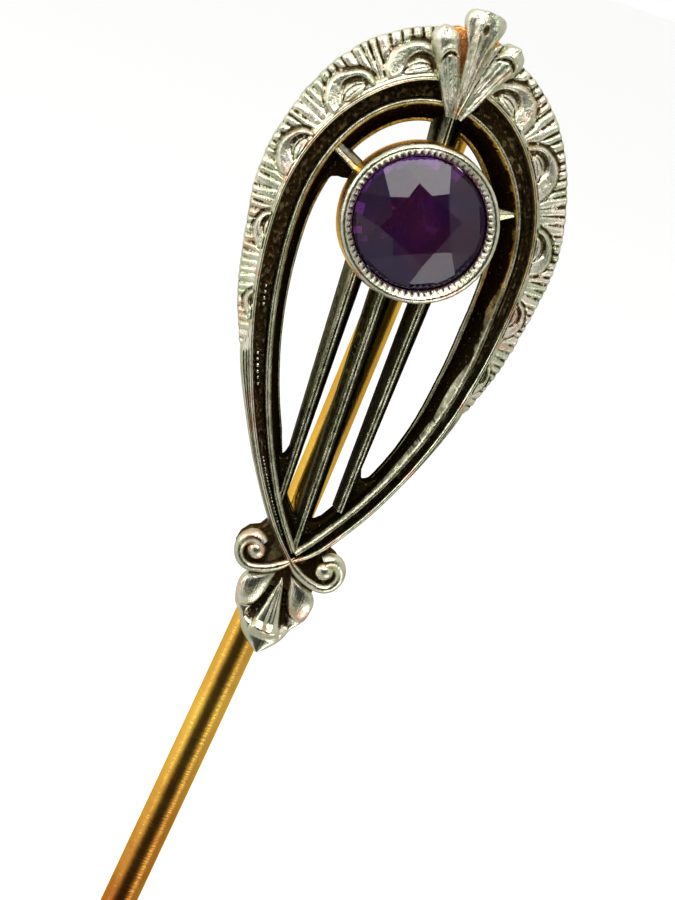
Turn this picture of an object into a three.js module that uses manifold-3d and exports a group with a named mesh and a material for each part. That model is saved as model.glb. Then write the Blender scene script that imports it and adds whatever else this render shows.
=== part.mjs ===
// Hat pin: a pear-shaped openwork head with a round amethyst, soldered to a wire stem.
// Millimetres, +Z up along the pin, decorated face towards -Y, origin where the cloth
// holds the stem. Every head piece is drawn in the head's own plane: x across, y up
// from the point where the two border wires cross, z out from the flat back.

import * as THREE from 'three';
import { mergeVertices } from 'three/addons/utils/BufferGeometryUtils.js';
import { ConvexGeometry } from 'three/addons/geometries/ConvexGeometry.js';
import Module from 'manifold-3d';

const wasm = await Module();
wasm.setup();

// Driving dimensions

const seam = 0.03;              // soldered joint between two neighbouring pieces

const stoneDiameter = 4.0;
const stoneTable = 2.3;         // width of the flat top facet
const crownHeight = 0.5;
const girdleThickness = 0.08;
const pavilionDepth = 1.25;
const stoneClearance = 0.03;    // between the stone and the metal round it

const lipWidth = 0.36;          // white collar round the stone
const lipHeight = 0.28;
const lipTop = 2.25;            // above the flat back
const bezelFlare = 0.14;        // how much wider the cup is at its base than at its lip
const bezelBase = 0.75;         // underside of the flared part above the flat back
const bezelFoot = 0.05;         // lower end of the narrow tube under it
const bezelFootWall = 0.12;
const seatWidth = 0.3;
const seatThickness = 0.45;

const settingHeight = 11.24;    // stone centre above the wire crossing
const settingOffset = 0.15;     // the setting sits slightly to the right
const sideClearance = 0.15;     // bezel to the frame opening, at its tight side
const topClearance = 0.24;
const beltDrop = 1.39;          // the opening is widest this far below the stone centre

const plateThickness = 0.4;     // flat frame at the back
const plateOverhang = 0.28;     // how far the rim reaches past it
const railWidth = 0.55;         // sloped inner wall, at the sides
const railCrown = 0.77;         // and at the top
const railHeight = 1.3;
const channelWidth = 0.5;       // from inner ridge to border wire, at the sides
const channelCrown = 0.7;
const borderWire = 0.3;         // width of the border wire
const rimWidth = 0.88;          // from border wire to outer edge, at the sides
const rimCrown = 1.4;
const rimInnerHeight = 1.05;
const rimFoot = 5.5;            // lower end of the engraved rim above the crossing
const beadWidth = 0.16;
const beadStripTop = 5.9;

const barHeight = 1.2;
const barShoulder = 0.45;       // where a bar's upright sides turn into its ridge
const topBarWidth = 0.8;
const rayWidth = 0.34;

const scrollRadius = 0.5;       // volute at the foot of each border wire
const scrollWire = 0.24;
const scrollReach = 1.13;       // volute centre from the middle line
const ballRadius = 0.25;
const scrollPlateThickness = 0.45;
const scrollHeight = 1.05;

const palmetteWidth = 2.3;
const palmetteLength = 2.5;
const palmetteHeight = 0.95;

const fleurRise = 0.47;         // lower tip of the fleur above the frame opening
const fleurOverhang = 0.9;      // its top above the rim
const fleurBackThickness = 0.16;
const fleurLeafThickness = 0.5;

const stemDiameter = 1.05;
const stemLap = 0.12;           // how far the stem laps onto the frame above the opening
const stemLength = 62;
const stemTaper = 14;           // length of the pointed end
const stemTipRadius = 0.06;
const stemSlopeAbove = 0.05;    // sideways run per millimetre behind the head
const stemSlopeBelow = 0.105;   // and below the bend
const stemBendLength = 4;
const gripBelowCrossing = 22;   // where the cloth holds the pin

// Materials

const whiteGold = new THREE.MeshStandardMaterial({ color: '#cfcba8', roughness: 0.28, metalness: 1 });
const agedWhiteGold = new THREE.MeshStandardMaterial({ color: '#6f6a4c', roughness: 0.4, metalness: 1 });
const oxidisedGold = new THREE.MeshStandardMaterial({ color: '#33291a', roughness: 0.6, metalness: 0.9 });
const yellowGold = new THREE.MeshStandardMaterial({ color: '#e0a640', roughness: 0.22, metalness: 1 });
const roseGold = new THREE.MeshStandardMaterial({ color: '#c98a50', roughness: 0.35, metalness: 1 });
const amethystGlass = new THREE.MeshStandardMaterial({ color: '#4a1f63', roughness: 0.05, metalness: 0 });

// Worked-out sizes

const stoneRadius = stoneDiameter / 2;
const collarRadius = stoneRadius + lipWidth;
const bezelRadius = collarRadius + bezelFlare;
const bezelBore = stoneRadius + stoneClearance;
const footRadius = bezelBore + bezelFootWall;
const floorHeight = plateThickness + seam;
const fleurFloor = railHeight + seam;

const opening = {
  halfWidth: bezelRadius + settingOffset + sideClearance,
  belt: settingHeight - beltDrop,
  top: settingHeight + bezelRadius + topClearance,
  foot: new THREE.Vector2(0, 1.2),
  footReach: new THREE.Vector2(1.55, 2.2),
  beltReach: 3.55,
};
const rail = {
  halfWidth: opening.halfWidth + railWidth,
  belt: opening.belt,
  top: opening.top + railCrown,
  foot: new THREE.Vector2(0, 0.33),
  footReach: new THREE.Vector2(1.48, 2.61),
  beltReach: 3.6,
};
const border = {
  halfWidth: rail.halfWidth + channelWidth,
  belt: opening.belt + 0.45,
  top: rail.top + channelCrown,
  foot: new THREE.Vector2(0, 0),
  footReach: new THREE.Vector2(2.3, 2.77),
  beltReach: 3.6,
};
const rim = {
  halfWidth: border.halfWidth + rimWidth,
  belt: opening.belt + 1.25,
  top: border.top + rimCrown,
  foot: new THREE.Vector2(0, 0),
  footReach: new THREE.Vector2(2.66, 2.4),
  beltReach: 4.3,
};
const fleurTip = opening.top + fleurRise;
const fleurTop = rim.top + fleurOverhang;
const fleurMiddle = 0.12;
const stemTop = opening.top + stemLap;
const plate = {
  halfWidth: rim.halfWidth - plateOverhang,
  belt: opening.belt + 0.75,
  top: rim.top - plateOverhang,
  foot: new THREE.Vector2(0, -0.05),
  footReach: new THREE.Vector2(2.5, 2.65),
  beltReach: 3.7,
};

// Geometry helpers

// Closed three.js geometry to solid, and back
function toSolid(geometry) {
  const bare = geometry.clone();
  bare.deleteAttribute('normal');
  bare.deleteAttribute('uv');
  const merged = mergeVertices(bare);
  const mesh = new wasm.Mesh({
    numProp: 3,
    vertProperties: new Float32Array(merged.attributes.position.array),
    triVerts: new Uint32Array(merged.index.array),
  });
  return new wasm.Manifold(mesh);
}

function toGeometry(solid) {
  const mesh = solid.getMesh();
  const geometry = new THREE.BufferGeometry();
  geometry.setAttribute('position', new THREE.BufferAttribute(new Float32Array(mesh.vertProperties), 3));
  geometry.setIndex(new THREE.BufferAttribute(new Uint32Array(mesh.triVerts), 1));
  return geometry;
}

// The same piece for the other side of the head, with its faces turned outwards again
function mirrored(geometry) {
  const copy = geometry.clone().scale(-1, 1, 1);
  if (!copy.index) {
    copy.setIndex([...Array(copy.attributes.position.count).keys()]);
  }
  const order = Array.from(copy.index.array);
  for (let i = 0; i < order.length; i += 3) {
    [order[i], order[i + 1]] = [order[i + 1], order[i]];
  }
  copy.setIndex(order);
  return copy;
}

function block(x0, x1, y0, y1, z0, z1) {
  const box = new THREE.BoxGeometry(x1 - x0, y1 - y0, z1 - z0);
  return box.translate((x0 + x1) / 2, (y0 + y1) / 2, (z0 + z1) / 2);
}

function extruded(shape, z0, z1, curveSegments = 20) {
  const geometry = new THREE.ExtrudeGeometry(shape, { depth: z1 - z0, bevelEnabled: false, curveSegments });
  return geometry.translate(0, 0, z0);
}

// A leaf-like blank with rounded edges, lying between z0 and z1
function cushioned(shape, z0, z1, rounding, curveSegments = 12) {
  const geometry = new THREE.ExtrudeGeometry(shape, {
    depth: z1 - z0 - 2 * rounding,
    bevelThickness: rounding,
    bevelSize: rounding,
    bevelOffset: -rounding,
    bevelSegments: 2,
    curveSegments,
  });
  return geometry.translate(0, 0, z0 + rounding);
}

// Section points are [outward, height]; the path runs up the right-hand side
function swept(section, path, steps) {
  const shape = new THREE.Shape(section.map(([outward, height]) => new THREE.Vector2(-height, -outward)));
  return new THREE.ExtrudeGeometry(shape, { steps, extrudePath: path });
}

// Right half of a pear: a long curve from foot to belt, then a quarter ellipse to the top
function pearHalf(pear) {
  const roundness = 0.5523;
  const { halfWidth, belt, top, foot, footReach, beltReach } = pear;
  const half = new THREE.CurvePath();
  half.add(new THREE.CubicBezierCurve(
    foot,
    foot.clone().add(footReach),
    new THREE.Vector2(halfWidth, belt - beltReach),
    new THREE.Vector2(halfWidth, belt),
  ));
  half.add(new THREE.CubicBezierCurve(
    new THREE.Vector2(halfWidth, belt),
    new THREE.Vector2(halfWidth, belt + roundness * (top - belt)),
    new THREE.Vector2(roundness * halfWidth, top),
    new THREE.Vector2(0, top),
  ));
  return half;
}

function pearOutline(pear, segments = 20) {
  const right = pearHalf(pear).getPoints(segments);
  const left = right.slice(1, -1).reverse().map((p) => new THREE.Vector2(-p.x, p.y));
  return [...right, ...left];
}

function pearPath(pear, segments = 18) {
  const points = pearHalf(pear).getPoints(segments);
  return new THREE.CatmullRomCurve3(points.map((p) => new THREE.Vector3(p.x, p.y, 0)));
}

function pearRing(outer, inner, z0, z1) {
  const blank = toSolid(extruded(new THREE.Shape(pearOutline(outer)), z0, z1));
  return blank.subtract(toSolid(extruded(new THREE.Shape(pearOutline(inner)), z0 - 1, z1 + 1)));
}

function rightHalfOnly(geometry) {
  return toSolid(geometry).intersect(toSolid(block(seam / 2, 20, -10, 40, -10, 10)));
}

// A straight bar with a ridge, narrowing from one end to the other
function ridgedBar(start, end) {
  const corners = [];
  for (const tip of [start, end]) {
    const along = new THREE.Vector2(end.x - start.x, end.y - start.y).normalize();
    const side = new THREE.Vector2(-along.y, along.x).multiplyScalar(tip.width / 2);
    for (const sign of [-1, 1]) {
      corners.push(new THREE.Vector3(tip.x + sign * side.x, tip.y + sign * side.y, 0));
      corners.push(new THREE.Vector3(tip.x + sign * side.x, tip.y + sign * side.y, barShoulder));
      corners.push(new THREE.Vector3(tip.x + sign * side.x * 0.25, tip.y + sign * side.y * 0.25, tip.height));
    }
  }
  return new ConvexGeometry(corners);
}

// Frame pieces

function railSection(grow) {
  return [
    [-railWidth - grow, -grow],
    [-railWidth - grow, floorHeight - grow],
    [-0.05 - grow, railHeight + grow],
    [0.05 + grow, railHeight + grow],
    [0.12 + grow, floorHeight - grow],
    [0.12 + grow, -grow],
  ];
}

function makeRail() {
  const section = railSection(0).filter(([, height]) => height > 0);
  section.push([0.12, floorHeight], [-railWidth, floorHeight]);
  const unique = section.filter((p, i) => section.findIndex((q) => q[0] === p[0] && q[1] === p[1]) === i);
  return rightHalfOnly(swept(unique, pearPath(rail), 44));
}

// Everything the frame fills, grown by one seam, to cut the bars and rays to length
function frameFill() {
  const half = swept(railSection(seam), pearPath(rail), 44);
  const tight = {
    ...opening,
    halfWidth: opening.halfWidth - seam,
    top: opening.top - seam,
    foot: opening.foot.clone().add(new THREE.Vector2(0, 2 * seam)),
  };
  return toSolid(half).add(toSolid(mirrored(half))).add(pearRing(plate, tight, -1, floorHeight));
}

function makeBackFrame() {
  const scroll = toSolid(extruded(scrollPlateShape(seam), -1, 2));
  return pearRing(plate, opening, 0, plateThickness).subtract(scroll);
}

function makeBorderWire() {
  const half = borderWire / 2;
  const section = [
    [-half, floorHeight],
    [-half, railHeight - 0.25],
    [-half / 3, railHeight],
    [half / 3, railHeight],
    [half, railHeight - 0.25],
    [half, floorHeight],
  ];
  return rightHalfOnly(swept(section, pearPath(border), 44));
}

function makeEngravedRim() {
  const band = pearRing(rim, border, floorHeight, rimInnerHeight).subtract(borderFill());
  return band.intersect(toSolid(block(seam / 2, 20, rimFoot, 40, 0, 10)));
}

function makeBeadStrip() {
  const channel = {
    ...border,
    halfWidth: (rail.halfWidth + border.halfWidth) / 2,
    top: (rail.top + border.top) / 2,
    foot: new THREE.Vector2(0, 0.17),
    footReach: new THREE.Vector2(1.89, 2.69),
  };
  const half = beadWidth / 2;
  const section = [[-half, floorHeight], [-half, 0.95], [half, 0.95], [half, floorHeight]];
  const strip = toSolid(swept(section, pearPath(channel), 44));
  const kept = strip.intersect(toSolid(block(0.45, 20, 1.6, beadStripTop, -10, 10)));
  return kept.subtract(borderFill()).subtract(frameFill());
}

// Setting: cup, seat, collar and stone, turned round the stone's own centre

function turned(profile, segments = 64) {
  const points = profile.map(([radius, height]) => new THREE.Vector2(radius, height));
  const ring = new THREE.LatheGeometry([...points, points[0]], segments);
  return ring.rotateX(Math.PI / 2).translate(settingOffset, settingHeight, 0);
}

const girdleTop = lipTop - lipHeight;
const girdleBottom = girdleTop - girdleThickness;
const cupTop = lipTop - lipHeight - seam;

// A narrow tube stands inside the frame opening; the flared wall sits on the bars
function makeBezelCup() {
  return turned([
    [bezelBore, bezelFoot],
    [footRadius, bezelFoot],
    [footRadius, bezelBase],
    [bezelRadius, bezelBase],
    [bezelRadius, bezelBase + 0.3],
    [collarRadius, cupTop],
    [bezelBore, cupTop],
  ]);
}

function makeCollar() {
  return turned([
    [bezelBore, girdleTop],
    [collarRadius, girdleTop],
    [collarRadius - 0.02, lipTop - 0.1],
    [collarRadius - 0.12, lipTop],
    [stoneRadius + 0.12, lipTop],
    [bezelBore, lipTop - 0.08],
  ]);
}

// A ledge with a sloped top that the stone's lower half rests on
function makeSeat() {
  const outer = bezelBore - seam;
  const inner = outer - seatWidth;
  const slope = pavilionDepth / stoneRadius;
  const top = girdleBottom - stoneClearance - (stoneRadius - outer) * slope;
  return turned([
    [inner, top - seatWidth * slope - seatThickness],
    [outer, top - seatWidth * slope - seatThickness],
    [outer, top - seam],
    [inner, top - seatWidth * slope - seam],
  ]);
}

// Round brilliant: table, main and break facets, girdle, pavilion
function makeStone() {
  const facets = 8;
  const points = [];
  const ring = (count, radius, height, turn) => {
    for (let i = 0; i < count; i += 1) {
      const angle = ((i + turn) / count) * Math.PI * 2;
      points.push(new THREE.Vector3(radius * Math.cos(angle), radius * Math.sin(angle), height));
    }
  };
  const bezelFacet = (stoneRadius + stoneTable / 2) / 2 + 0.03;
  ring(facets, stoneTable / 2, girdleTop + crownHeight, 0);
  ring(facets, bezelFacet, girdleTop + crownHeight * 0.56, 0.5);
  ring(facets * 2, stoneRadius, girdleTop, 0.5);
  ring(facets * 2, stoneRadius, girdleBottom, 0.5);
  ring(facets, stoneRadius * 0.3, girdleBottom - pavilionDepth * 0.72, 0.5);
  points.push(new THREE.Vector3(0, 0, girdleBottom - pavilionDepth));
  return new ConvexGeometry(points).translate(settingOffset, settingHeight, 0);
}

// What the setting fills, grown by one seam, to cut the bars and rays to length
function settingFill() {
  const cylinder = (radius, z0, z1) => {
    const disc = new THREE.CylinderGeometry(radius + seam, radius + seam, z1 - z0, 64);
    return toSolid(disc.rotateX(Math.PI / 2).translate(settingOffset, settingHeight, (z0 + z1) / 2));
  };
  return cylinder(footRadius, -1, 2).add(cylinder(bezelRadius, bezelBase - seam, 4));
}

// Bars and rays, each one cut to the frame and the setting

function makeBars() {
  const lowest = { y: 0.4, height: barHeight };
  const start = settingHeight - bezelRadius + 1;
  const blanks = {
    bar_left: [
      { x: -1.07, y: start, width: 0.66, height: barHeight },
      { x: -0.78, y: 1.75, width: 0.3, height: barHeight },
    ],
    bar_centre: [
      { x: 0, y: start, width: 0.7, height: barHeight },
      { x: 0.03, ...lowest, width: 0.36 },
    ],
    bar_right: [
      { x: 1.28, y: start, width: 0.66, height: barHeight },
      { x: 0.95, y: 2.0, width: 0.3, height: barHeight },
    ],
    top_bar: [
      { x: fleurMiddle, y: rail.top, width: topBarWidth, height: barHeight },
      { x: fleurMiddle, y: settingHeight + bezelRadius - 1, width: topBarWidth * 0.7, height: barHeight },
    ],
    ray_upper_left: [
      { x: 0.35 - rail.halfWidth, y: settingHeight + 1.38, width: rayWidth, height: barHeight },
      { x: settingOffset - 1.55, y: settingHeight + 0.61, width: rayWidth, height: barHeight },
    ],
    ray_right: [
      { x: rail.halfWidth - 0.05, y: settingHeight + 0.66, width: rayWidth * 0.6, height: barHeight },
      { x: settingOffset + 1.65, y: settingHeight + 0.31, width: rayWidth * 1.4, height: barHeight },
    ],
  };
  const inside = toSolid(extruded(new THREE.Shape(pearOutline(rail)), -1, 3));
  const frame = frameFill().add(settingFill());
  const bars = {};
  for (const [name, [from, to]] of Object.entries(blanks)) {
    bars[name] = toSolid(ridgedBar(from, to)).intersect(inside).subtract(frame);
  }
  return bars;
}

// Foot of the head: plate, volutes, balls and palmette

function scrollPlateShape(grow) {
  const side = scrollReach + scrollRadius * 0.7 + grow;
  const high = 0.95 + grow;
  const low = -0.82 - grow;
  const shape = new THREE.Shape();
  shape.moveTo(-side * 0.6, high);
  shape.lineTo(side * 0.6, high);
  shape.bezierCurveTo(side, high * 0.6, side, 0.4, side, 0);
  shape.bezierCurveTo(side, low * 0.7, side * 0.8, low, side * 0.6, low);
  shape.lineTo(-side * 0.6, low);
  shape.bezierCurveTo(-side * 0.8, low, -side, low * 0.7, -side, 0);
  shape.bezierCurveTo(-side, 0.4, -side, high * 0.6, -side * 0.6, high);
  return shape;
}

function makeScrollPlate() {
  return extruded(scrollPlateShape(0), 0, plateThickness, 10);
}

// The wire leaves the crossing, swings under the ball and winds in round it
function makeVolute() {
  const points = [new THREE.Vector3(0, -0.05, 0), new THREE.Vector3(0.4, -0.36, 0)];
  const turns = 9;
  for (let i = 0; i <= turns; i += 1) {
    const angle = THREE.MathUtils.degToRad(-100 + (265 * i) / turns);
    const radius = scrollRadius + 0.06 - 0.1 * (i / turns);
    const x = scrollReach + radius * Math.cos(angle);
    points.push(new THREE.Vector3(x, radius * Math.sin(angle), 0));
  }
  const half = scrollWire / 2;
  const section = [
    [-half, floorHeight],
    [-half, scrollHeight - 0.15],
    [-half / 3, scrollHeight],
    [half / 3, scrollHeight],
    [half, scrollHeight - 0.15],
    [half, floorHeight],
  ];
  const wire = toSolid(swept(section, new THREE.CatmullRomCurve3(points), 40));
  const right = toSolid(block(seam / 2, 20, -10, 40, -10, 10));
  return wire.intersect(right).subtract(borderFill());
}

function borderFill() {
  const half = borderWire / 2 + seam;
  const section = [[-half, -1], [-half, 3], [half, 3], [half, -1]];
  return toSolid(swept(section, pearPath(border), 44));
}

function makeBall() {
  const ball = new THREE.SphereGeometry(ballRadius, 20, 12);
  return ball.translate(scrollReach + 0.02, 0, floorHeight + ballRadius + seam);
}

function palmetteShape() {
  const half = palmetteWidth / 2;
  const top = -0.82 - seam;
  const tip = top - palmetteLength + 0.37;
  const shape = new THREE.Shape();
  shape.moveTo(0, top);
  shape.lineTo(half * 0.8, top);
  shape.bezierCurveTo(half * 1.05, top - 0.2, half, top - 0.8, half * 0.66, top - 1.2);
  shape.bezierCurveTo(half * 0.5, top - 1.55, half * 0.25, tip + 0.2, 0, tip);
  shape.bezierCurveTo(-half * 0.25, tip + 0.2, -half * 0.5, top - 1.55, -half * 0.66, top - 1.2);
  shape.bezierCurveTo(-half, top - 0.8, -half * 1.05, top - 0.2, -half * 0.8, top);
  return shape;
}

// Three lobes stand up from a leaf-shaped blank
function makePalmette() {
  let leaf = toSolid(cushioned(palmetteShape(), 0, palmetteHeight * 0.55, 0.1));
  const outline = toSolid(extruded(palmetteShape(), -1, 2, 12));
  for (const lean of [-1, 0, 1]) {
    const lobe = new THREE.SphereGeometry(1, 20, 12);
    lobe.scale(lean === 0 ? 0.3 : 0.36, 1.05, palmetteHeight * 0.5);
    lobe.rotateZ(THREE.MathUtils.degToRad(26 * lean));
    lobe.translate(lean * 0.62, lean === 0 ? -1.85 : -1.45, palmetteHeight * 0.5);
    leaf = leaf.add(toSolid(lobe).intersect(outline));
  }
  return leaf;
}

// Fleur: three fluted leaves over a rose gold back, lying on top of rim and rails

function fleurBackShape() {
  const shape = new THREE.Shape();
  shape.moveTo(0.12, fleurTip + 0.15);
  shape.bezierCurveTo(0.5, fleurTip + 1, 0.8, fleurTip + 1.8, 1.15, fleurTip + 2.3);
  shape.lineTo(-0.85, fleurTip + 2.3);
  shape.bezierCurveTo(-0.55, fleurTip + 1.8, -0.2, fleurTip + 1, 0.12, fleurTip + 0.15);
  return shape;
}

function centreLeafShape() {
  const top = fleurTop;
  const shape = new THREE.Shape();
  shape.moveTo(0.1, fleurTip + 0.35);
  shape.bezierCurveTo(0.24, fleurTip + 1.4, 0.3, fleurTip + 2.1, 0.76, top - 0.9);
  shape.bezierCurveTo(0.78, top - 0.3, 0.5, top, 0.12, top);
  shape.bezierCurveTo(-0.28, top, -0.5, top - 0.3, -0.5, top - 0.9);
  shape.bezierCurveTo(-0.1, fleurTip + 2.1, 0.0, fleurTip + 1.4, 0.1, fleurTip + 0.35);
  return shape;
}

// Drawn for the right-hand side, about the fleur's own middle line
function sideLeafShape() {
  const shape = new THREE.Shape();
  shape.moveTo(seam / 2, fleurTip);
  shape.bezierCurveTo(0.26, fleurTip - 0.05, 0.36, fleurTip + 0.2, 0.42, fleurTip + 0.8);
  shape.bezierCurveTo(0.66, fleurTip + 1.2, 0.82, fleurTip + 1.45, 1.15, fleurTip + 1.65);
  shape.bezierCurveTo(1.6, fleurTip + 1.75, 1.65, fleurTip + 2.2, 1.25, fleurTip + 2.42);
  shape.bezierCurveTo(0.95, fleurTip + 2.52, 0.72, fleurTip + 2.3, 0.6, fleurTip + 2.0);
  shape.bezierCurveTo(0.34, fleurTip + 1.4, 0.1, fleurTip + 0.9, seam / 2, fleurTip);
  return shape;
}

const leafFloor = fleurFloor + fleurBackThickness + seam;

// A flat-backed leaf with an arched front, the arch running at a lean from upright
function arched(shape, base, thickness, middle, width, lean) {
  const barrel = new THREE.CylinderGeometry(1, 1, 30, 32);
  barrel.scale(width / 2, 1, thickness);
  barrel.rotateZ(THREE.MathUtils.degToRad(lean));
  barrel.translate(middle, fleurTip + 1.2, base);
  return toSolid(extruded(shape, base, base + thickness, 12)).intersect(toSolid(barrel));
}

function makeSideLeaf() {
  return arched(sideLeafShape(), leafFloor, fleurLeafThickness, 0.52, 1.05, -22);
}

function makeCentreLeaf() {
  const leaf = arched(centreLeafShape(), leafFloor, fleurLeafThickness * 1.2, fleurMiddle, 1.5, 0);
  const bevel = { bevelThickness: seam, bevelSize: seam, bevelSegments: 1 };
  const clear = new THREE.ExtrudeGeometry(sideLeafShape(), { depth: fleurLeafThickness, ...bevel });
  clear.translate(0, 0, leafFloor);
  const right = toSolid(clear.clone().translate(fleurMiddle, 0, 0));
  const left = toSolid(mirrored(clear).translate(fleurMiddle, 0, 0));
  return leaf.subtract(right).subtract(left);
}

// Stem: round wire, tapered to a point, bent gently to the left below the head

function stemShift(y) {
  const middle = (stemSlopeAbove + stemSlopeBelow) / 2;
  const turn = (stemSlopeAbove - stemSlopeBelow) / 2;
  return middle * y + turn * Math.hypot(y, stemBendLength) - 0.033;
}

function makeStem() {
  const radius = stemDiameter / 2;
  const bottom = stemTop - stemLength;
  const profile = [[0, bottom], [stemTipRadius, bottom + stemTipRadius]];
  profile.push([radius, bottom + stemTaper]);
  const stations = 24;
  for (let i = 1; i <= stations; i += 1) {
    profile.push([radius, bottom + stemTaper + ((stemLength - stemTaper - 0.1) * i) / stations]);
  }
  profile.push([radius - 0.1, stemTop], [0, stemTop]);
  const stem = new THREE.LatheGeometry(profile.map(([r, y]) => new THREE.Vector2(r, y)), 24);
  const position = stem.attributes.position;
  for (let i = 0; i < position.count; i += 1) {
    position.setX(i, position.getX(i) + stemShift(position.getY(i)));
  }
  return stem.translate(0, 0, -radius - seam);
}

// Assembly

const pin = new THREE.Group();
const head = new THREE.Group();
head.rotation.x = Math.PI / 2;
head.position.set(-stemShift(-gripBelowCrossing), -stemDiameter / 2 - seam, gripBelowCrossing);
pin.add(head);

function addPiece(name, shape, material) {
  const geometry = shape.isBufferGeometry ? shape : toGeometry(shape);
  const mesh = new THREE.Mesh(geometry, material);
  mesh.name = name;
  head.add(mesh);
}

function addPair(name, shape, material) {
  const geometry = shape.isBufferGeometry ? shape : toGeometry(shape);
  addPiece(`${name}_right`, geometry, material);
  addPiece(`${name}_left`, mirrored(geometry), material);
}

addPiece('back_frame', makeBackFrame(), agedWhiteGold);
addPair('inner_rail', makeRail(), agedWhiteGold);
addPair('border_wire', makeBorderWire(), whiteGold);
addPair('engraved_rim', makeEngravedRim(), whiteGold);
addPiece('milgrain_strip', mirrored(toGeometry(makeBeadStrip())), oxidisedGold);

addPiece('bezel_cup', makeBezelCup(), yellowGold);
addPiece('milgrain_collar', makeCollar(), whiteGold);
addPiece('bezel_seat', makeSeat(), yellowGold);
addPiece('amethyst', makeStone(), amethystGlass);

for (const [name, bar] of Object.entries(makeBars())) {
  addPiece(name, bar, agedWhiteGold);
}

addPiece('scroll_plate', makeScrollPlate(), oxidisedGold);
addPair('volute', makeVolute(), whiteGold);
addPair('volute_ball', makeBall(), whiteGold);
addPiece('palmette', makePalmette(), whiteGold);

addPiece('fleur_back', extruded(fleurBackShape(), fleurFloor, fleurFloor + fleurBackThickness), roseGold);
const sideLeaf = toGeometry(makeSideLeaf());
addPiece('fleur_leaf_right', sideLeaf.clone().translate(fleurMiddle, 0, 0), whiteGold);
addPiece('fleur_leaf_left', mirrored(sideLeaf).translate(fleurMiddle, 0, 0), whiteGold);
addPiece('fleur_leaf_centre', makeCentreLeaf(), whiteGold);

addPiece('pin_stem', makeStem(), yellowGold);

export default pin;
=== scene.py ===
# Hat pin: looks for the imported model. Everything on the head is laid out in millimetres in the
# head's own plane (x across, y up from the wire crossing, z out from the flat back) and then
# turned upright into the frame.
import bpy
import bmesh
import math
from bisect import bisect_right
from mathutils import Matrix, Vector, noise
from mathutils.geometry import interpolate_bezier


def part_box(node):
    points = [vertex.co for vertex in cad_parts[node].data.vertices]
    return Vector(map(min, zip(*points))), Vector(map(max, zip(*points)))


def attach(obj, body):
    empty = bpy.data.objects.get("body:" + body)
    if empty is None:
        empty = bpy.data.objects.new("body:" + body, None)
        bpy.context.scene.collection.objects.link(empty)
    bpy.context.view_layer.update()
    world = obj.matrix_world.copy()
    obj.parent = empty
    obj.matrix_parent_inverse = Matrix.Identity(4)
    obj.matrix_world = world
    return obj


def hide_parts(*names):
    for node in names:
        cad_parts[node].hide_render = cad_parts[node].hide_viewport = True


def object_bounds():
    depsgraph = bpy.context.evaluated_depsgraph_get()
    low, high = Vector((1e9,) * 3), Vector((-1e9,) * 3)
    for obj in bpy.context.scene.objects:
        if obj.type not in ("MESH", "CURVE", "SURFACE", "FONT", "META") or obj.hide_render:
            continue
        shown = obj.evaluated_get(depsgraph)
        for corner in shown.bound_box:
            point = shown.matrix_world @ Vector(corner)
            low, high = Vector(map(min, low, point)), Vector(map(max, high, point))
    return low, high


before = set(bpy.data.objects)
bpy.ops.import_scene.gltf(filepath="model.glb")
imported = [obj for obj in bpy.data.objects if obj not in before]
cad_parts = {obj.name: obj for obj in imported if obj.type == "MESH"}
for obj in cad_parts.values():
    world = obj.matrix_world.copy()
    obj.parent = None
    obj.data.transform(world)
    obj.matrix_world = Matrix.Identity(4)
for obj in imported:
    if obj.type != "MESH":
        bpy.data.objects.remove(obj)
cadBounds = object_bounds()
mm = 0.001

# where the head is, read from the frame
frameLow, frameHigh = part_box("back_frame")
ballLow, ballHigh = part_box("volute_ball_right")
headX = (frameLow[0] + frameHigh[0]) / 2
backY = frameHigh[1]
crossingZ = (ballLow[2] + ballHigh[2]) / 2
headToFrame = (Matrix.Translation((headX, backY, crossingZ))
               @ Matrix.Rotation(math.pi / 2, 4, "X") @ Matrix.Scale(mm, 4))


print("camera, floor and light")

cameraView = {
    "aim": (0.216, 3.727, 1.3),   # millimetres on the head
    "distance": 130 * mm,
    "fromLeft": 8.69,             # degrees round from straight in front
    "fromAbove": 7.48,
    "roll": 19.28,                # so the head leans to the right
    "lens": 171.6,
    "sensor": 36,
    "clip": (0.005, 50),          # metres
}


def placeCamera():
    view = cameraView
    aim = headToFrame @ Vector(view["aim"])
    turn = (Matrix.Rotation(math.radians(-view["fromLeft"]), 4, "Z")
            @ Matrix.Rotation(math.radians(90 - view["fromAbove"]), 4, "X"))
    back = turn @ Vector((0, 0, view["distance"]))
    data = bpy.data.cameras.new("frontCamera")
    data.lens = view["lens"]
    data.sensor_width = view["sensor"]
    data.clip_start, data.clip_end = view["clip"]
    camera = bpy.data.objects.new("frontCamera", data)
    camera.matrix_world = (Matrix.Translation(aim + back) @ turn
                           @ Matrix.Rotation(math.radians(view["roll"]), 4, "Z"))
    bpy.context.scene.collection.objects.link(camera)
    bpy.context.scene.camera = camera


# sets or links a node's inputs; a node given as a value is linked by its first output in use
def fillInputs(tree, node, inputs):
    for name, value in inputs.items():
        if isinstance(value, bpy.types.Node):
            value = next(output for output in value.outputs if output.enabled)
        if isinstance(value, bpy.types.NodeSocket):
            tree.links.new(value, node.inputs[name])
        else:
            node.inputs[name].default_value = value


# adds a node with its settings and inputs
def addNode(tree, kind, inputs=None, **settings):
    node = tree.nodes.new("ShaderNode" + kind)
    for name, value in settings.items():
        setattr(node, name, value)
    fillInputs(tree, node, inputs or {})
    return node


# sRGB hex to linear colour
def hexColour(text):
    parts = [int(text[i:i + 2], 16) / 255 for i in (1, 3, 5)]
    return (*[p / 12.92 if p <= 0.04045 else ((p + 0.055) / 1.055) ** 2.4 for p in parts], 1)


def newMaterial(name):
    material = bpy.data.materials.new(name)
    material.use_nodes = True
    return material, material.node_tree, material.node_tree.nodes["Principled BSDF"]


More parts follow.
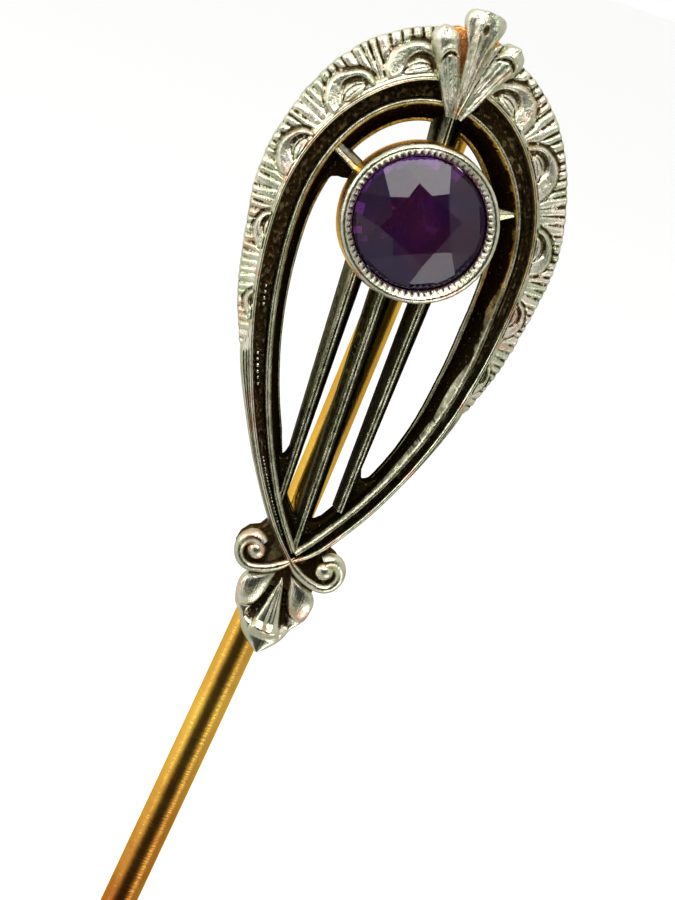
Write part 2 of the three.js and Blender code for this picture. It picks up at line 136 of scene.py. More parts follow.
studio = {
    "floorColour": "#F4F4F2",
    "floorRoughness": 0.9,
    "floorSize": 12,              # metres
    "keyPower": 1.75,
    "keySize": 0.406,
    "keyPlace": (-0.0755, -0.3407, 0.3958),
    "fillPower": 0.6,
    "fillSize": 0.26,
    "fillPlace": (-0.5, -0.12, 0.16),
    "lightAim": (0, 8, 0),        # millimetres on the head
    # the room that polished metal mirrors: pale walls, a dark side behind the camera, a small bright panel
    "roomLight": 1.0,
    "frontLight": 0.04,
    "front": (-0.12, -0.985, 0.1),
    "panelLight": 2.2,
    "panel": (0.62, -0.48, -0.62),
    "lowToHigh": (0.65, 1.0),
    "leftToRight": (1.12, 0.72),
    "softLight": 1.12,            # what falls on the floor
}


def addAreaLight(name, place, size, power):
    data = bpy.data.lights.new(name, "AREA")
    data.shape = "DISK"
    data.size = size
    data.energy = power
    light = bpy.data.objects.new(name, data)
    target = headToFrame @ Vector(studio["lightAim"])
    light.location = Vector(place)
    light.visible_camera = False
    light.rotation_mode = "QUATERNION"
    light.rotation_quaternion = (Vector(place) - target).to_track_quat("Z", "Y")
    bpy.context.scene.collection.objects.link(light)


def buildStudio():
    bm = bmesh.new()
    bmesh.ops.create_grid(bm, x_segments=4, y_segments=4, size=studio["floorSize"] / 2)
    mesh = bpy.data.meshes.new("floor")
    bm.to_mesh(mesh)
    bm.free()
    floor = bpy.data.objects.new("floor", mesh)
    floor.location = (0, 0, cadBounds[0][2])
    bpy.context.scene.collection.objects.link(floor)
    material, tree, shader = newMaterial("mattPaintedFloor")
    fillInputs(tree, shader, {"Base Color": hexColour(studio["floorColour"]),
                              "Roughness": studio["floorRoughness"]})
    mesh.materials.append(material)
    floor.visible_glossy = False  # the metal mirrors the room, not the floor
    for name in ("key", "fill"):
        addAreaLight(name, studio[name + "Place"], studio[name + "Size"], studio[name + "Power"])
    world = bpy.data.worlds.new("whiteRoom")
    bpy.context.scene.world = world
    world.use_nodes = True
    tree = world.node_tree
    tree.nodes.clear()
    # what mirrors see: pale all round, dark in front, shaded from side to side and from floor to ceiling
    direction = addNode(tree, "TexCoord").outputs["Generated"]
    forward = addNode(tree, "VectorMath", {0: direction, 1: studio["front"]}, operation="DOT_PRODUCT")
    room = addNode(tree, "MapRange", {"Value": forward, "From Min": 0.5, "From Max": 0.92,
                                      "To Min": studio["roomLight"], "To Max": studio["frontLight"]},
                   interpolation_type="SMOOTHSTEP")
    part = addNode(tree, "SeparateXYZ", {"Vector": direction})
    for axis, start, end, ends in (("Z", -0.7, 0.5, "lowToHigh"), ("X", -1.0, 1.0, "leftToRight")):
        shade = addNode(tree, "MapRange", {"Value": part.outputs[axis], "From Min": start, "From Max": end,
                                           "To Min": studio[ends][0], "To Max": studio[ends][1]})
        room = addNode(tree, "Math", {0: room, 1: shade}, operation="MULTIPLY")
    # one facet of the stone picks up the panel
    panel = addNode(tree, "VectorMath", {0: direction, 1: studio["panel"]}, operation="DOT_PRODUCT")
    panel = addNode(tree, "MapRange", {"Value": panel, "From Min": 0.93, "From Max": 0.96,
                                       "To Max": studio["panelLight"]}, interpolation_type="SMOOTHSTEP")
    room = addNode(tree, "Math", {0: room, 1: panel}, operation="ADD")
    # soft even light for matt surfaces, and plain white behind the pin
    path = addNode(tree, "LightPath").outputs
    soft = addNode(tree, "Mix", {"Factor": path["Is Diffuse Ray"], "A": room, "B": studio["softLight"]})
    strength = addNode(tree, "Mix", {"Factor": path["Is Camera Ray"], "A": soft, "B": 1.0})
    background = addNode(tree, "Background", {"Color": (1, 1, 1, 1), "Strength": strength})
    addNode(tree, "OutputWorld", {"Surface": background})
    bpy.context.scene.view_settings.view_transform = "Standard"


placeCamera()
buildStudio()

print("outlines and mesh helpers")

# right halves of the pear outlines the head is built on
pears = {
    "opening": {"halfWidth": 2.8, "belt": 9.85, "top": 13.98, "foot": (0, 1.2), "footReach": (1.55, 2.2),
                "beltReach": 3.55},
    "border": {"halfWidth": 3.85, "belt": 10.3, "top": 15.45, "foot": (0, 0), "footReach": (2.3, 2.77),
               "beltReach": 3.6},
    "plate": {"halfWidth": 4.45, "belt": 10.6, "top": 16.57, "foot": (0, -0.05), "footReach": (2.5, 2.65),
              "beltReach": 3.7},
}


# a Bezier curve through the head's plane, from its two ends and the handles between them
def curve(places, count):
    return interpolate_bezier(*[Vector((x, y, 0)) for x, y in places], count)


# a long curve from foot to belt, then a quarter ellipse to the top
def pearHalf(pear, steps):
    foot, reach = Vector(pear["foot"]), Vector(pear["footReach"])
    belt = Vector((pear["halfWidth"], pear["belt"]))
    top = Vector((0, pear["top"]))
    k = 0.5523                    # handle length that makes a quarter circle
    lower = curve([foot, foot + reach, (belt.x, belt.y - pear["beltReach"]), belt], steps + 1)
    upper = curve([belt, (belt.x, belt.y + k * (top.y - belt.y)), (k * belt.x, top.y), top], steps // 2 + 1)
    return [p.to_2d() for p in lower + upper[1:]]


borderLine = pearHalf(pears["border"], 400)
borderLength = [0]
for a, b in zip(borderLine, borderLine[1:]):
    borderLength.append(borderLength[-1] + (b - a).length)
fullLength = borderLength[-1]


# the border wire's point and outward direction at length s from the foot, on the right-hand side
def onBorder(s):
    k = min(max(bisect_right(borderLength, s) - 1, 0), len(borderLine) - 2)
    a, b = borderLine[k], borderLine[k + 1]
    part = (s - borderLength[k]) / (borderLength[k + 1] - borderLength[k])
    before, after = borderLine[max(k - 2, 0)], borderLine[min(k + 3, len(borderLine) - 1)]
    along = (after - before).normalized()
    return a + (b - a) * part, Vector((along.y, -along.x))


# how far outside the border wire another pear runs, as pairs of length and distance
def offsetsOf(pear):
    pairs = []
    for p in pearHalf(pear, 60):
        k = min(range(0, len(borderLine), 2), key=lambda i: (borderLine[i] - p).length_squared)
        s = borderLength[k]
        point, outward = onBorder(s)
        pairs.append((s, (p - point).dot(outward)))
    return sorted(pairs)


# the stretch between two pairs where s falls: its number, and how far along it s is
def stretchAt(pairs, s):
    k = min(max(bisect_right([p[0] for p in pairs], s) - 1, 0), len(pairs) - 2)
    a, b = pairs[k][0], pairs[k + 1][0]
    return k, min(max((s - a) / (b - a), 0), 1) if b > a else 0


# smooth curve through a few pairs
def between(pairs, s):
    k, t = stretchAt(pairs, s)

    def slope(i):
        before, after = pairs[max(i - 1, 0)], pairs[min(i + 1, len(pairs) - 1)]
        return (after[1] - before[1]) / (after[0] - before[0]) * (pairs[k + 1][0] - pairs[k][0])

    return (pairs[k][1] * (1 - t) ** 2 * (1 + 2 * t) + pairs[k + 1][1] * t * t * (3 - 2 * t)
            + slope(k) * t * (1 - t) ** 2 - slope(k + 1) * t * t * (1 - t))


# linear between pairs that lie close together
def lookUp(pairs, s):
    k, t = stretchAt(pairs, s)
    return pairs[k][1] + (pairs[k + 1][1] - pairs[k][1]) * t


openingEdge = offsetsOf(pears["opening"])
plateEdge = offsetsOf(pears["plate"])


# places length s, distance w outward and height h on one side of the head; side is -1 or 1
def onHead(side, s, w, h):
    point, outward = onBorder(s)
    spot = point + outward * w
    return Vector((side * spot.x, spot.y, h))


# slow random waves, the same on every run
def wave(position, size, seed=0):
    return noise.noise(Vector((position[0] / size + seed * 7.3, position[1] / size - seed * 3.1,
                               position[2] / size + seed)))


def bump(x):    # a smooth hill from -1 to 1
    return (1 - x * x) ** 2 if abs(x) < 1 else 0.0


def rise(low, high, x):    # a smooth step from 0 at low to 1 at high
    t = min(max((x - low) / (high - low), 0), 1)
    return t * t * (3 - 2 * t)


# a closed skin through matching cross-sections. A grid is laid over them, its seam is merged and its
# ends are filled. Each point is a place and how polished the metal is there, which on some pieces also
# holds painted highlight and painted shade.
def loft(rings, closed=False):
    rows, count = len(rings), len(rings[0])
    steps = rows if closed else rows - 1
    bm = bmesh.new()
    polishAndPaintedLight = bm.verts.layers.float.new("polishAndPaintedLight")
    bmesh.ops.create_grid(bm, x_segments=steps, y_segments=count, size=0.5)
    for vert in bm.verts:
        i = round((vert.co.x + 0.5) * steps) % rows
        k = round((vert.co.y + 0.5) * count) % count
        place, polish = rings[i][k]
        vert.co = place
        vert[polishAndPaintedLight] = polish
    bmesh.ops.remove_doubles(bm, verts=bm.verts, dist=1e-5)
    bmesh.ops.holes_fill(bm, edges=[e for e in bm.edges if e.is_boundary], sides=0)
    bmesh.ops.recalc_face_normals(bm, faces=bm.faces)
    return bm


# polish of every point, from a rule that takes the point; on some pieces the rule paints light and shade
def setPolishAndPaintedLight(bm, rule):
    polishAndPaintedLight = bm.verts.layers.float.get("polishAndPaintedLight") or bm.verts.layers.float.new("polishAndPaintedLight")
    for vert in bm.verts:
        vert[polishAndPaintedLight] = rule(vert)
    return bm


# a flat piece with an outline, between two heights
def slab(outline, low, high, rounding, polish):
    bm = bmesh.new()
    face = bm.faces.new([bm.verts.new((x, y, low)) for x, y in outline])
    raised = bmesh.ops.extrude_face_region(bm, geom=[face], use_keep_orig=True)["geom"]
    verts = [v for v in raised if isinstance(v, bmesh.types.BMVert)]
    bmesh.ops.translate(bm, verts=verts, vec=(0, 0, high - low))
    edges = [e for e in bm.edges if all(v.co.z > high - 1e-6 for v in e.verts)]
    bmesh.ops.bevel(bm, geom=edges, offset=rounding, segments=2, profile=0.5, material=-1, affect="EDGES")
    bmesh.ops.recalc_face_normals(bm, faces=bm.faces)
    return setPolishAndPaintedLight(bm, lambda vert: polish)


# cuts off what is on the far side of a plane and closes the cut
def cut(bm, point, outward):
    geom = list(bm.verts) + list(bm.edges) + list(bm.faces)
    bmesh.ops.bisect_plane(bm, geom=geom, dist=1e-6, plane_co=point, plane_no=outward, clear_outer=True)
    bmesh.ops.holes_fill(bm, edges=[e for e in bm.edges if e.is_boundary], sides=0)


def join(parts):
    whole = bmesh.new()
    for bm in parts:
        mesh = bpy.data.meshes.new("part")
        bm.to_mesh(mesh)
        bm.free()
        whole.from_mesh(mesh)
        bpy.data.meshes.remove(mesh)
    return whole


# turns a finished mesh upright into the frame and makes it a piece of the pin
def addPiece(name, bm, material, replaced=(), sharpAngle=50):
    bmesh.ops.transform(bm, matrix=headToFrame, verts=bm.verts)
    mesh = bpy.data.meshes.new(name)
    bm.to_mesh(mesh)
    bm.free()
    mesh.materials.append(material)
    mesh.shade_smooth()
    mesh.set_sharp_from_angle(angle=math.radians(sharpAngle))
    piece = bpy.data.objects.new(name, mesh)
    bpy.context.scene.collection.objects.link(piece)
    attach(piece, "root")
    if replaced:
        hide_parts(*replaced)


print("materials")

# what a gold has unless it says otherwise. Lengths are in millimetres; patch is the size of its cloudy
# patches, stretch how its scratches are drawn out along each axis
plainLook = {"patch": 0.5, "uneven": 0.4, "specks": 0.2, "roughness": 0.2, "skinRoughness": 0.4,
             "pits": 1.5, "relief": 0.008, "stretch": (1, 1, 0.12), "speckSize": 0.07, "grainSize": 0.16,
             "scratchSize": 0.05, "blushSize": 0.75, "blushColour": "#D9A085"}


# Cast and hand-finished gold. The mesh attribute says where it is rubbed bright and, on some pieces, where
# light and shade are painted; elsewhere it keeps a dark skin in the hollows, with a few bright specks
# where the skin has worn through.
def makeGold(name, look):
    look = {**plainLook, **look}
    material, tree, shader = newMaterial(name)
    place = addNode(tree, "TexCoord").outputs["Object"]
    patches, specks, grain = [
        addNode(tree, "TexNoise", {"Vector": place, "Scale": 1 / (look[size] * mm), "Detail": detail,
                                   "Roughness": fineness})
        for size, detail, fineness in (
            ("patch", 4.0, 0.6), ("speckSize", 2.0, 0.7), ("grainSize", 5.0, 0.65))]
    # worn edges and dirty corners: the mesh's own convexity
    polishAndPaintedLight = addNode(tree, "Attribute", attribute_name="polishAndPaintedLight").outputs["Fac"]
    corner = addNode(tree, "MapRange", {"Value": addNode(tree, "NewGeometry").outputs["Pointiness"],
                                        "From Min": 0.46, "From Max": 0.54, "To Min": -0.35, "To Max": 0.3})
    level = addNode(tree, "Math", {0: polishAndPaintedLight, 1: corner}, operation="ADD")
    level = addNode(tree, "Math", {0: patches, 1: look["uneven"], 2: level}, operation="MULTIPLY_ADD")
    level = addNode(tree, "Math", {0: grain, 1: look["uneven"] * 0.7, 2: level}, operation="MULTIPLY_ADD")
    shift = look["uneven"] * 0.85    # what patches and grain add on average
    clean = addNode(tree, "MapRange", {"Value": level, "From Min": 0.1 + shift, "From Max": 0.6 + shift},
                    interpolation_type="SMOOTHSTEP")
    spots = addNode(tree, "MapRange", {"Value": specks, "From Min": 0.66, "From Max": 0.72,
                                       "To Max": look["specks"]})
    clean = addNode(tree, "Math", {0: clean, 1: spots}, operation="MAXIMUM")
    tint = addNode(tree, "MapRange", {"Value": patches, "From Min": 0.38, "From Max": 0.62},
                   interpolation_type="SMOOTHSTEP")
    if "fade" in look:    # the second colour takes over down the pin
        height = addNode(tree, "SeparateXYZ", {"Vector": place}).outputs["Z"]
        fade = addNode(tree, "MapRange", {"Value": height, "From Min": look["fade"][0] * mm,
                                          "From Max": look["fade"][1] * mm},
                       interpolation_type="SMOOTHSTEP")
        tint = addNode(tree, "Math", {0: tint, 1: 0.35, 2: fade}, operation="MULTIPLY_ADD", use_clamp=True)
    bright = addNode(tree, "Mix", {"Factor": tint, "A": hexColour(look["bright"][0]),
                                   "B": hexColour(look["bright"][1])}, data_type="RGBA")
    if "blush" in look:   # rose tints where the pale surface has rubbed thin
        worn = addNode(tree, "TexNoise", {"Vector": place, "Scale": 1 / (look["blushSize"] * mm),
                                          "Detail": 3.0, "Distortion": 0.6})
        worn = addNode(tree, "MapRange", {"Value": worn, "From Min": 0.56, "From Max": 0.68,
                                          "To Max": look["blush"]}, interpolation_type="SMOOTHSTEP")
        bright = addNode(tree, "Mix", {"Factor": worn, "A": bright, "B": hexColour(look["blushColour"])},
                         data_type="RGBA")
    skin = addNode(tree, "Mix", {"Factor": grain, "A": hexColour(look["dark"][0]),
                                 "B": hexColour(look["dark"][1])}, data_type="RGBA")
    colour = addNode(tree, "Mix", {"Factor": clean, "A": skin, "B": bright}, data_type="RGBA")
    rough = addNode(tree, "MapRange", {"Value": clean, "To Min": look["skinRoughness"],
                                       "To Max": look["roughness"]})
    rough = addNode(tree, "Math", {0: grain, 1: 0.16, 2: rough}, operation="MULTIPLY_ADD")
    scratch = addNode(tree, "Mapping", {"Vector": place, "Scale": look["stretch"], "Rotation": (0, 0.4, 0)})
    scratch = addNode(tree, "TexNoise", {"Vector": scratch, "Scale": 1 / (look["scratchSize"] * mm),
                                         "Detail": 2.0})
    relief = addNode(tree, "Math", {0: grain, 1: look["pits"], 2: scratch}, operation="MULTIPLY_ADD")
    lift = addNode(tree, "Bump", {"Height": relief, "Distance": look["relief"] * mm, "Strength": 1.0})
    fillInputs(tree, shader, {"Base Color": colour, "Roughness": rough, "Normal": lift, "Metallic": 1.0,
                              "Specular Tint": hexColour(look["edge"])})
    return material


# 9 ct white gold, cast and rubbed bright: soft greenish-silver glints over brown hollows
whiteGold = makeGold("polishedWhiteGold", {
    "edge": "#F0ECDC", "bright": ("#EDE7CE", "#C6C8A8"), "dark": ("#20170A", "#43351A"), "blush": 0.6,
    "patch": 0.9, "uneven": 0.35, "specks": 0.5, "roughness": 0.14, "skinRoughness": 0.45, "pits": 1.6,
    "relief": 0.010})
# the same gold with chased work, so softer and paler all over
chasedGold = makeGold("chasedWhiteGold", {
    "edge": "#F4F0E0", "bright": ("#EFE8D2", "#C9CEB0"), "dark": ("#33260F", "#6A5631"), "blush": 0.45,
    "patch": 0.8, "uneven": 0.35, "specks": 0.4, "skinRoughness": 0.45, "pits": 2.0, "relief": 0.014})
# the same gold where fingers never rub it: a brown, speckled skin
agedWhiteGold = makeGold("tarnishedWhiteGold", {
    "edge": "#54462C", "bright": ("#DAD7BC", "#A9AA8A"), "dark": ("#120C05", "#33280F"), "specks": 0.45,
    "roughness": 0.18, "skinRoughness": 0.48, "pits": 2.5, "relief": 0.012})
# black-brown oxide left in the channels, rough and gritty
oxidisedGold = makeGold("oxidisedGold", {
    "edge": "#6E5636", "bright": ("#B9AE88", "#8C7444"), "dark": ("#1C1308", "#5A4626"), "patch": 0.35,
    "uneven": 0.7, "specks": 0.8, "roughness": 0.3, "skinRoughness": 0.55, "pits": 5, "relief": 0.02})
# 14 ct yellow gold wire, drawn and polished, redder and duller down the pin from the heights in fade
yellowGold = makeGold("drawnYellowGold", {
    "edge": "#FFE2A0", "bright": ("#F6C654", "#BC7230"), "dark": ("#6E4212", "#8E5A1E"), "patch": 2.2,
    "uneven": 0.3, "specks": 0.0, "roughness": 0.13, "pits": 1.0, "relief": 0.006, "fade": (18, 7),
    "stretch": (0.08, 0.08, 1)})
# the cup's yellow gold wall, handled and slightly orange in its hollows; its dark skin in the bore is
# painted shade under the stone
bezelGold = makeGold("bezelYellowGold", {
    "edge": "#FFE0A0", "bright": ("#FFD060", "#EFA850"), "dark": ("#24140A", "#4A2E12"), "patch": 1.2,
    "uneven": 0.2})
# the same gold inside the setting, dull and coloured very dark as painted shade under the stone
seatGold = makeGold("goldSeatPaintedShade", {
    "edge": "#6E5030", "bright": ("#C8A468", "#A8804C"), "dark": ("#120A06", "#2C1A0C"), "patch": 0.6,
    "uneven": 0.3, "specks": 0.1, "roughness": 0.4, "skinRoughness": 0.6, "pits": 2.0, "relief": 0.01})
# copper-rich gold backing, lightly polished: warm and coppery between the leaves
roseGold = makeGold("roseGold", {
    "edge": "#F0C8A0", "bright": ("#F2A35A", "#DE8A48"), "dark": ("#6A3C18", "#80542C")})


# amethyst, cut and polished: deep violet glass-clear stone with paler zones, dusty and a little worn
amethystLook = {"colours": ("#4A2078", "#6E2C68"), "zone": 1.6, "roughness": 0.02, "clear": 0.92}


def makeAmethyst():
    look = amethystLook
    material, tree, shader = newMaterial("cutAmethyst")
    place = addNode(tree, "TexCoord").outputs["Object"]
    zones = addNode(tree, "TexNoise", {"Vector": place, "Scale": 1 / (look["zone"] * mm), "Detail": 1.0})
    zones = addNode(tree, "MapRange", {"Value": zones, "From Min": 0.4, "From Max": 0.62})
    colour = addNode(tree, "Mix", {"Factor": zones, "A": hexColour(look["colours"][0]),
                                   "B": hexColour(look["colours"][1])}, data_type="RGBA")
    fillInputs(tree, shader, {"Base Color": colour, "Roughness": look["roughness"], "IOR": 1.545,
                              "Transmission Weight": look["clear"]})
    return material


amethyst = makeAmethyst()

print("frame: back plate, channel, rails and border wires")

frameShape = {
    "plateTop": 0.4,
    "solderHeight": 0.43,         # where the parts on the plate begin
    "groundHeight": 0.84,
    "crestHeight": 1.3,
    "steps": 300,                 # sections along each side
    # crests, as length from the foot and distance outside the border line
    "borderCrest": {-1: [(0, 0), (1.2, 0.1), (5, 0.13), (9, 0.14), (12, 0.1), (14, 0.02), (16, -0.07),
                         (18.31, -0.06)],
                    1: [(0, 0), (0.7, 0.2), (2, 0.25), (3.2, 0.26), (4.8, 0.23), (6.5, 0.17), (8, 0.1),
                        (10, 0.05), (13, 0.07), (16, 0.03), (18.31, -0.03)]},
    "railCrest": {-1: [(0.4, -0.17), (2, -0.19), (3, -0.24), (5, -0.33), (7, -0.41), (9, -0.46),
                       (12, -0.52), (15, -0.6), (17, -0.72), (18.31, -0.77)],
                  1: [(0.4, -0.12), (2, -0.1), (3, -0.09), (4.5, -0.1), (6.5, -0.16), (8, -0.26),
                      (10, -0.42), (13, -0.46), (15, -0.58), (17, -0.73), (18.31, -0.77)]},
    # how far the openings' edge lies outside their plain pear
    "edgeShift": {-1: [(1, 0.08), (2, 0.18), (3, 0.1), (4, 0)],
                  1: [(1, 0.25), (2, 0.38), (4, 0.4), (5.5, 0.31), (7.2, 0.13), (9, 0)]},
    # outer edge of the plain stretch below the engraving
    "outerEdge": {-1: [(0, 0.08), (1.3, 0.2), (3, 0.26), (4.5, 0.31), (6.6, 0.42), (7.2, 0.3)],
                  1: [(0, 0.1), (0.8, 0.33), (3, 0.35), (6.6, 0.39), (7.2, 0.3)]},
}
sideNames = {-1: "left", 1: "right"}
# outlines of the webs in the corners between bars and rails
webs = {
    "heights": (0.02, 0.8),
    "left": [(-1.04, 3.3), (-1.1, 3.05), (-1.17, 2.93), (-1.25, 2.9), (-1.33, 2.97), (-1.42, 3.12),
             (-1.55, 3.4), (-1.75, 3.3), (-1.0, 1.7), (-0.8, 1.55), (-0.8, 2.4)],
    "right": [(1.2, 3.3), (1.26, 3.1), (1.33, 3.0), (1.42, 2.97), (1.53, 3.02), (1.66, 3.13), (1.8, 3.3),
              (2.0, 3.5), (2.1, 3.3), (1.5, 2.0), (1.15, 1.8), (0.9, 1.6), (0.9, 2.6), (1.1, 3.3)],
    "foot": [(-0.45, 1.45), (-0.3, 1.36), (-0.1, 1.33), (0.25, 1.3), (0.42, 1.34), (0.6, 1.5), (0.85, 1.9),
             (1.1, 2.05), (0.7, 1.1), (0.12, 0.3), (0.0, 0.3), (-0.5, 0.95), (-0.9, 1.6), (-0.72, 1.75)],
    "ray": [(-3.0, 10.6), (-2.82, 11.1), (-2.74, 11.36), (-2.62, 11.5), (-2.45, 11.56), (-2.3, 11.56),
            (-2.1, 11.6), (-2.05, 12.2), (-2.75, 12.55), (-3.1, 12.2), (-3.2, 11.4)],
}


def innerEdge(side, s):
    return lookUp(openingEdge, s) + between(frameShape["edgeShift"][side], s)


# lengths of the sections from start up to the top of the head
def sectionsFrom(start):
    count = int(frameShape["steps"] * (fullLength - start) / fullLength)
    return [start + (fullLength - start) * i / count for i in range(count + 1)]


# skins one side of the head, trims it at the middle and adds it
def addSide(side, name, rings, material, node="", sharpAngle=60):
    bm = loft(rings)
    cut(bm, (side * 0.01, 0, 0), (-side, 0, 0))
    addPiece(name + "." + sideNames[side], bm, material, (node + sideNames[side],) if node else (),
             sharpAngle)


def makeRail(side):
    shape = frameShape
    rings = []
    for s in sectionsFrom(0.25):
        crest = between(shape["railCrest"][side], s)
        edge = innerEdge(side, s)
        facet, rubbed = 0.02, 0
        line = 0.035 * (1 - rise(9, 12, s))   # a fine groove along the crest, worn away higher up
        if side > 0:   # the inner slope is rubbed into a broad bright facet in two places
            rubbed = bump((s - 7.3) / 1.2) + bump((s - 10.1) / 0.9)
            facet += 0.07 * bump((s - 5.4) / 2.8) + 0.1 * rubbed
        dull = side > 0
        profile = [(crest + 0.11, shape["solderHeight"], 0), (crest + 0.1, 0.9, 0),
                   (crest + 0.075, 1.12, 0.1), (crest + 0.07, 1.22, 0.7), (crest + 0.05, 1.275, 1),
                   (crest + 0.02, 1.3, 1),
                   (crest + 0.005, 1.296 - line, 1 - 9 * line), (crest - 0.01, 1.3, 1),
                   (crest - 0.05, 1.29, 1 - 0.5 * dull), (crest - 0.08, 1.255, 0.9 - 0.65 * dull),
                   (crest - 0.1 - facet, 1.2 - 0.6 * facet, 0.14 + 0.25 * rubbed)]
        inner, high = profile[-1][:2]
        low = 0.1
        for k in range(1, 9):     # the slope falls to the opening's edge, steeper as it goes
            q = k / 8
            h = high + (low - high) * (0.55 * q + 0.45 * q * q)
            profile.append((inner + (edge - inner) * q, h, -0.3))
        profile += [(edge - 0.005, 0.04, -0.4), (edge + 0.1, 0.02, -0.3)]
        ring = []
        for w, h, polish in profile:
            spot = onHead(side, s, w, h)
            if polish < 0.2:
                spot.z += 0.03 * wave(spot, 0.16) + 0.02 * wave(spot, 0.06, 2)
            else:
                spot.z += 0.012 * wave(spot, 0.35, 3)
            ring.append((spot, polish))
        rings.append(ring)
    addSide(side, "innerRail", rings, agedWhiteGold, "inner_rail_")


# the gritty floor of the channel between rail and border wire; on the right a bright line runs along it
def makeChannelGround(side):
    shape = frameShape
    rings = []
    for s in sectionsFrom(0.2):
        inner = between(shape["railCrest"][side], s) + 0.05
        outer = between(shape["borderCrest"][side], s) - 0.05
        line = 0.2 * rise(8.6, 9.2, s) * (1 - rise(14.2, 14.9, s)) if side > 0 else 0
        ring = []
        across = 16
        for k in range(across + 1):
            w = inner + (outer - inner) * k / across
            spot = onHead(side, s, w, shape["groundHeight"])
            spot.z += 0.07 * wave(spot, 0.14, 5) + 0.04 * wave(spot, 0.05, 6)
            polish = 0.05
            if line:
                ridge = bump((w + 0.25 - 0.02 * wave(spot, 1.2)) / 0.05)
                spot.z += line * ridge
                polish += 0.8 * ridge
            ring.append((spot, polish))
        ring += [(onHead(side, s, w, shape["solderHeight"]), 0) for w in (outer, inner)]
        rings.append(ring)
    addSide(side, "channelGround", rings, oxidisedGold)


def makeBorderWire(side):
    shape = frameShape
    rings = []
    for s in sectionsFrom(0.1):
        crest = between(shape["borderCrest"][side], s)
        outer = between(shape["outerEdge"][side], s)
        outer = max(outer, crest + 0.12)
        top = shape["crestHeight"] + 0.012 * wave((s, side, 0), 0.7)
        profile = [(crest - 0.13, shape["solderHeight"], 0), (crest - 0.12, 0.85, 0),
                   (crest - 0.095, 1.1, 0.15), (crest - 0.065, 1.23, 0.5), (crest - 0.035, top - 0.015, 1),
                   (crest, top, 1), (crest + 0.03, top - 0.015, 1), (crest + 0.05, top - 0.055, 0.7)]
        reeds = 3 if side < 0 else 2    # fine rounded lines on the plain stretch below the engraving
        across = 18
        for k in range(1, across + 1):
            q = k / across
            w = crest + 0.05 + (outer - crest - 0.05) * q
            ridge = 0.5 - 0.5 * math.cos(2 * math.pi * reeds * q)
            h = top - 0.1 - 0.26 * q ** 1.4 + 0.055 * ridge * (1 - rise(6.4, 6.9, s))
            profile.append((w, h, 0.25 + 0.75 * ridge))
        profile += [(outer + 0.005, 0.8, 0.5), (outer, 0.45, 0.3)]
        rings.append([(onHead(side, s, w, h), polish) for w, h, polish in profile])
    addSide(side, "borderWire", rings, whiteGold, "border_wire_")


# the flat back, filled in round the lower ends of the openings
def makeBackFrame():
    top, rounding = frameShape["plateTop"], 0.04
    parts = []
    for side in (-1, 1):
        rings = []
        for s in sectionsFrom(0.05):
            inner = innerEdge(side, s) + 0.02
            outer = lookUp(plateEdge, s)
            profile = [(inner, 0.03), (inner, top - rounding), (inner + rounding, top),
                       (outer - rounding, top), (outer, top - rounding), (outer, rounding),
                       (outer - rounding, 0.0), (inner + rounding, 0.0)]
            rings.append([(onHead(side, s, w, h), 0.3) for w, h in profile])
        bm = loft(rings)
        cut(bm, (0, 0, 0), (-side, 0, 0))
        parts.append(bm)
    for name in ("left", "right", "foot", "ray"):
        parts.append(slab(webs[name], *webs["heights"], 0.05, -0.2))
    addPiece("backFrame", join(parts), agedWhiteGold, ("back_frame",))


for side in (-1, 1):
    makeRail(side)
    makeChannelGround(side)
    makeBorderWire(side)
makeBackFrame()

print("engraved rims")

rimShape = {
    "start": {-1: 6.62, 1: 6.7},  # lower end, along the border wire
    "end": 17.9,                  # under the fleur
    "step": 0.026,
    "across": 44,
    # middles of the leaf motifs along the border wire, and how far each leans
    "leaves": {-1: [(8.0, 0.1), (10.25, 0.05), (12.75, 0.0), (15.05, -0.05), (16.95, 0.1)],
               1: [(8.05, -0.2), (10.05, -0.1), (12.2, -0.1), (14.55, 0.0), (16.6, -0.1)]},
    "leafWidth": 0.82,
    "flutePitch": 0.24,
    "fluteDepth": 0.12,
    "grooveDepth": 0.09,
    "bodyHeight": 0.1,
    "hollowDepth": 0.1,
    "hoodHeight": 0.08,
    "seedHeight": 0.06,
    "ditchDepth": 0.055,
    "innerHeight": 1.14,
    "outerHeight": 0.8,
}


def rimWidth(s):
    return 0.47 + 0.093 * (s - 7) + 0.02 * math.sin(s * 1.7)


# lens-shaped hill: 1 in the middle, 0 on its outline, negative outside
def lens(x, y, halfLength, halfWidth):
    return 1 - (x / halfLength) ** 2 - abs(y) / halfWidth


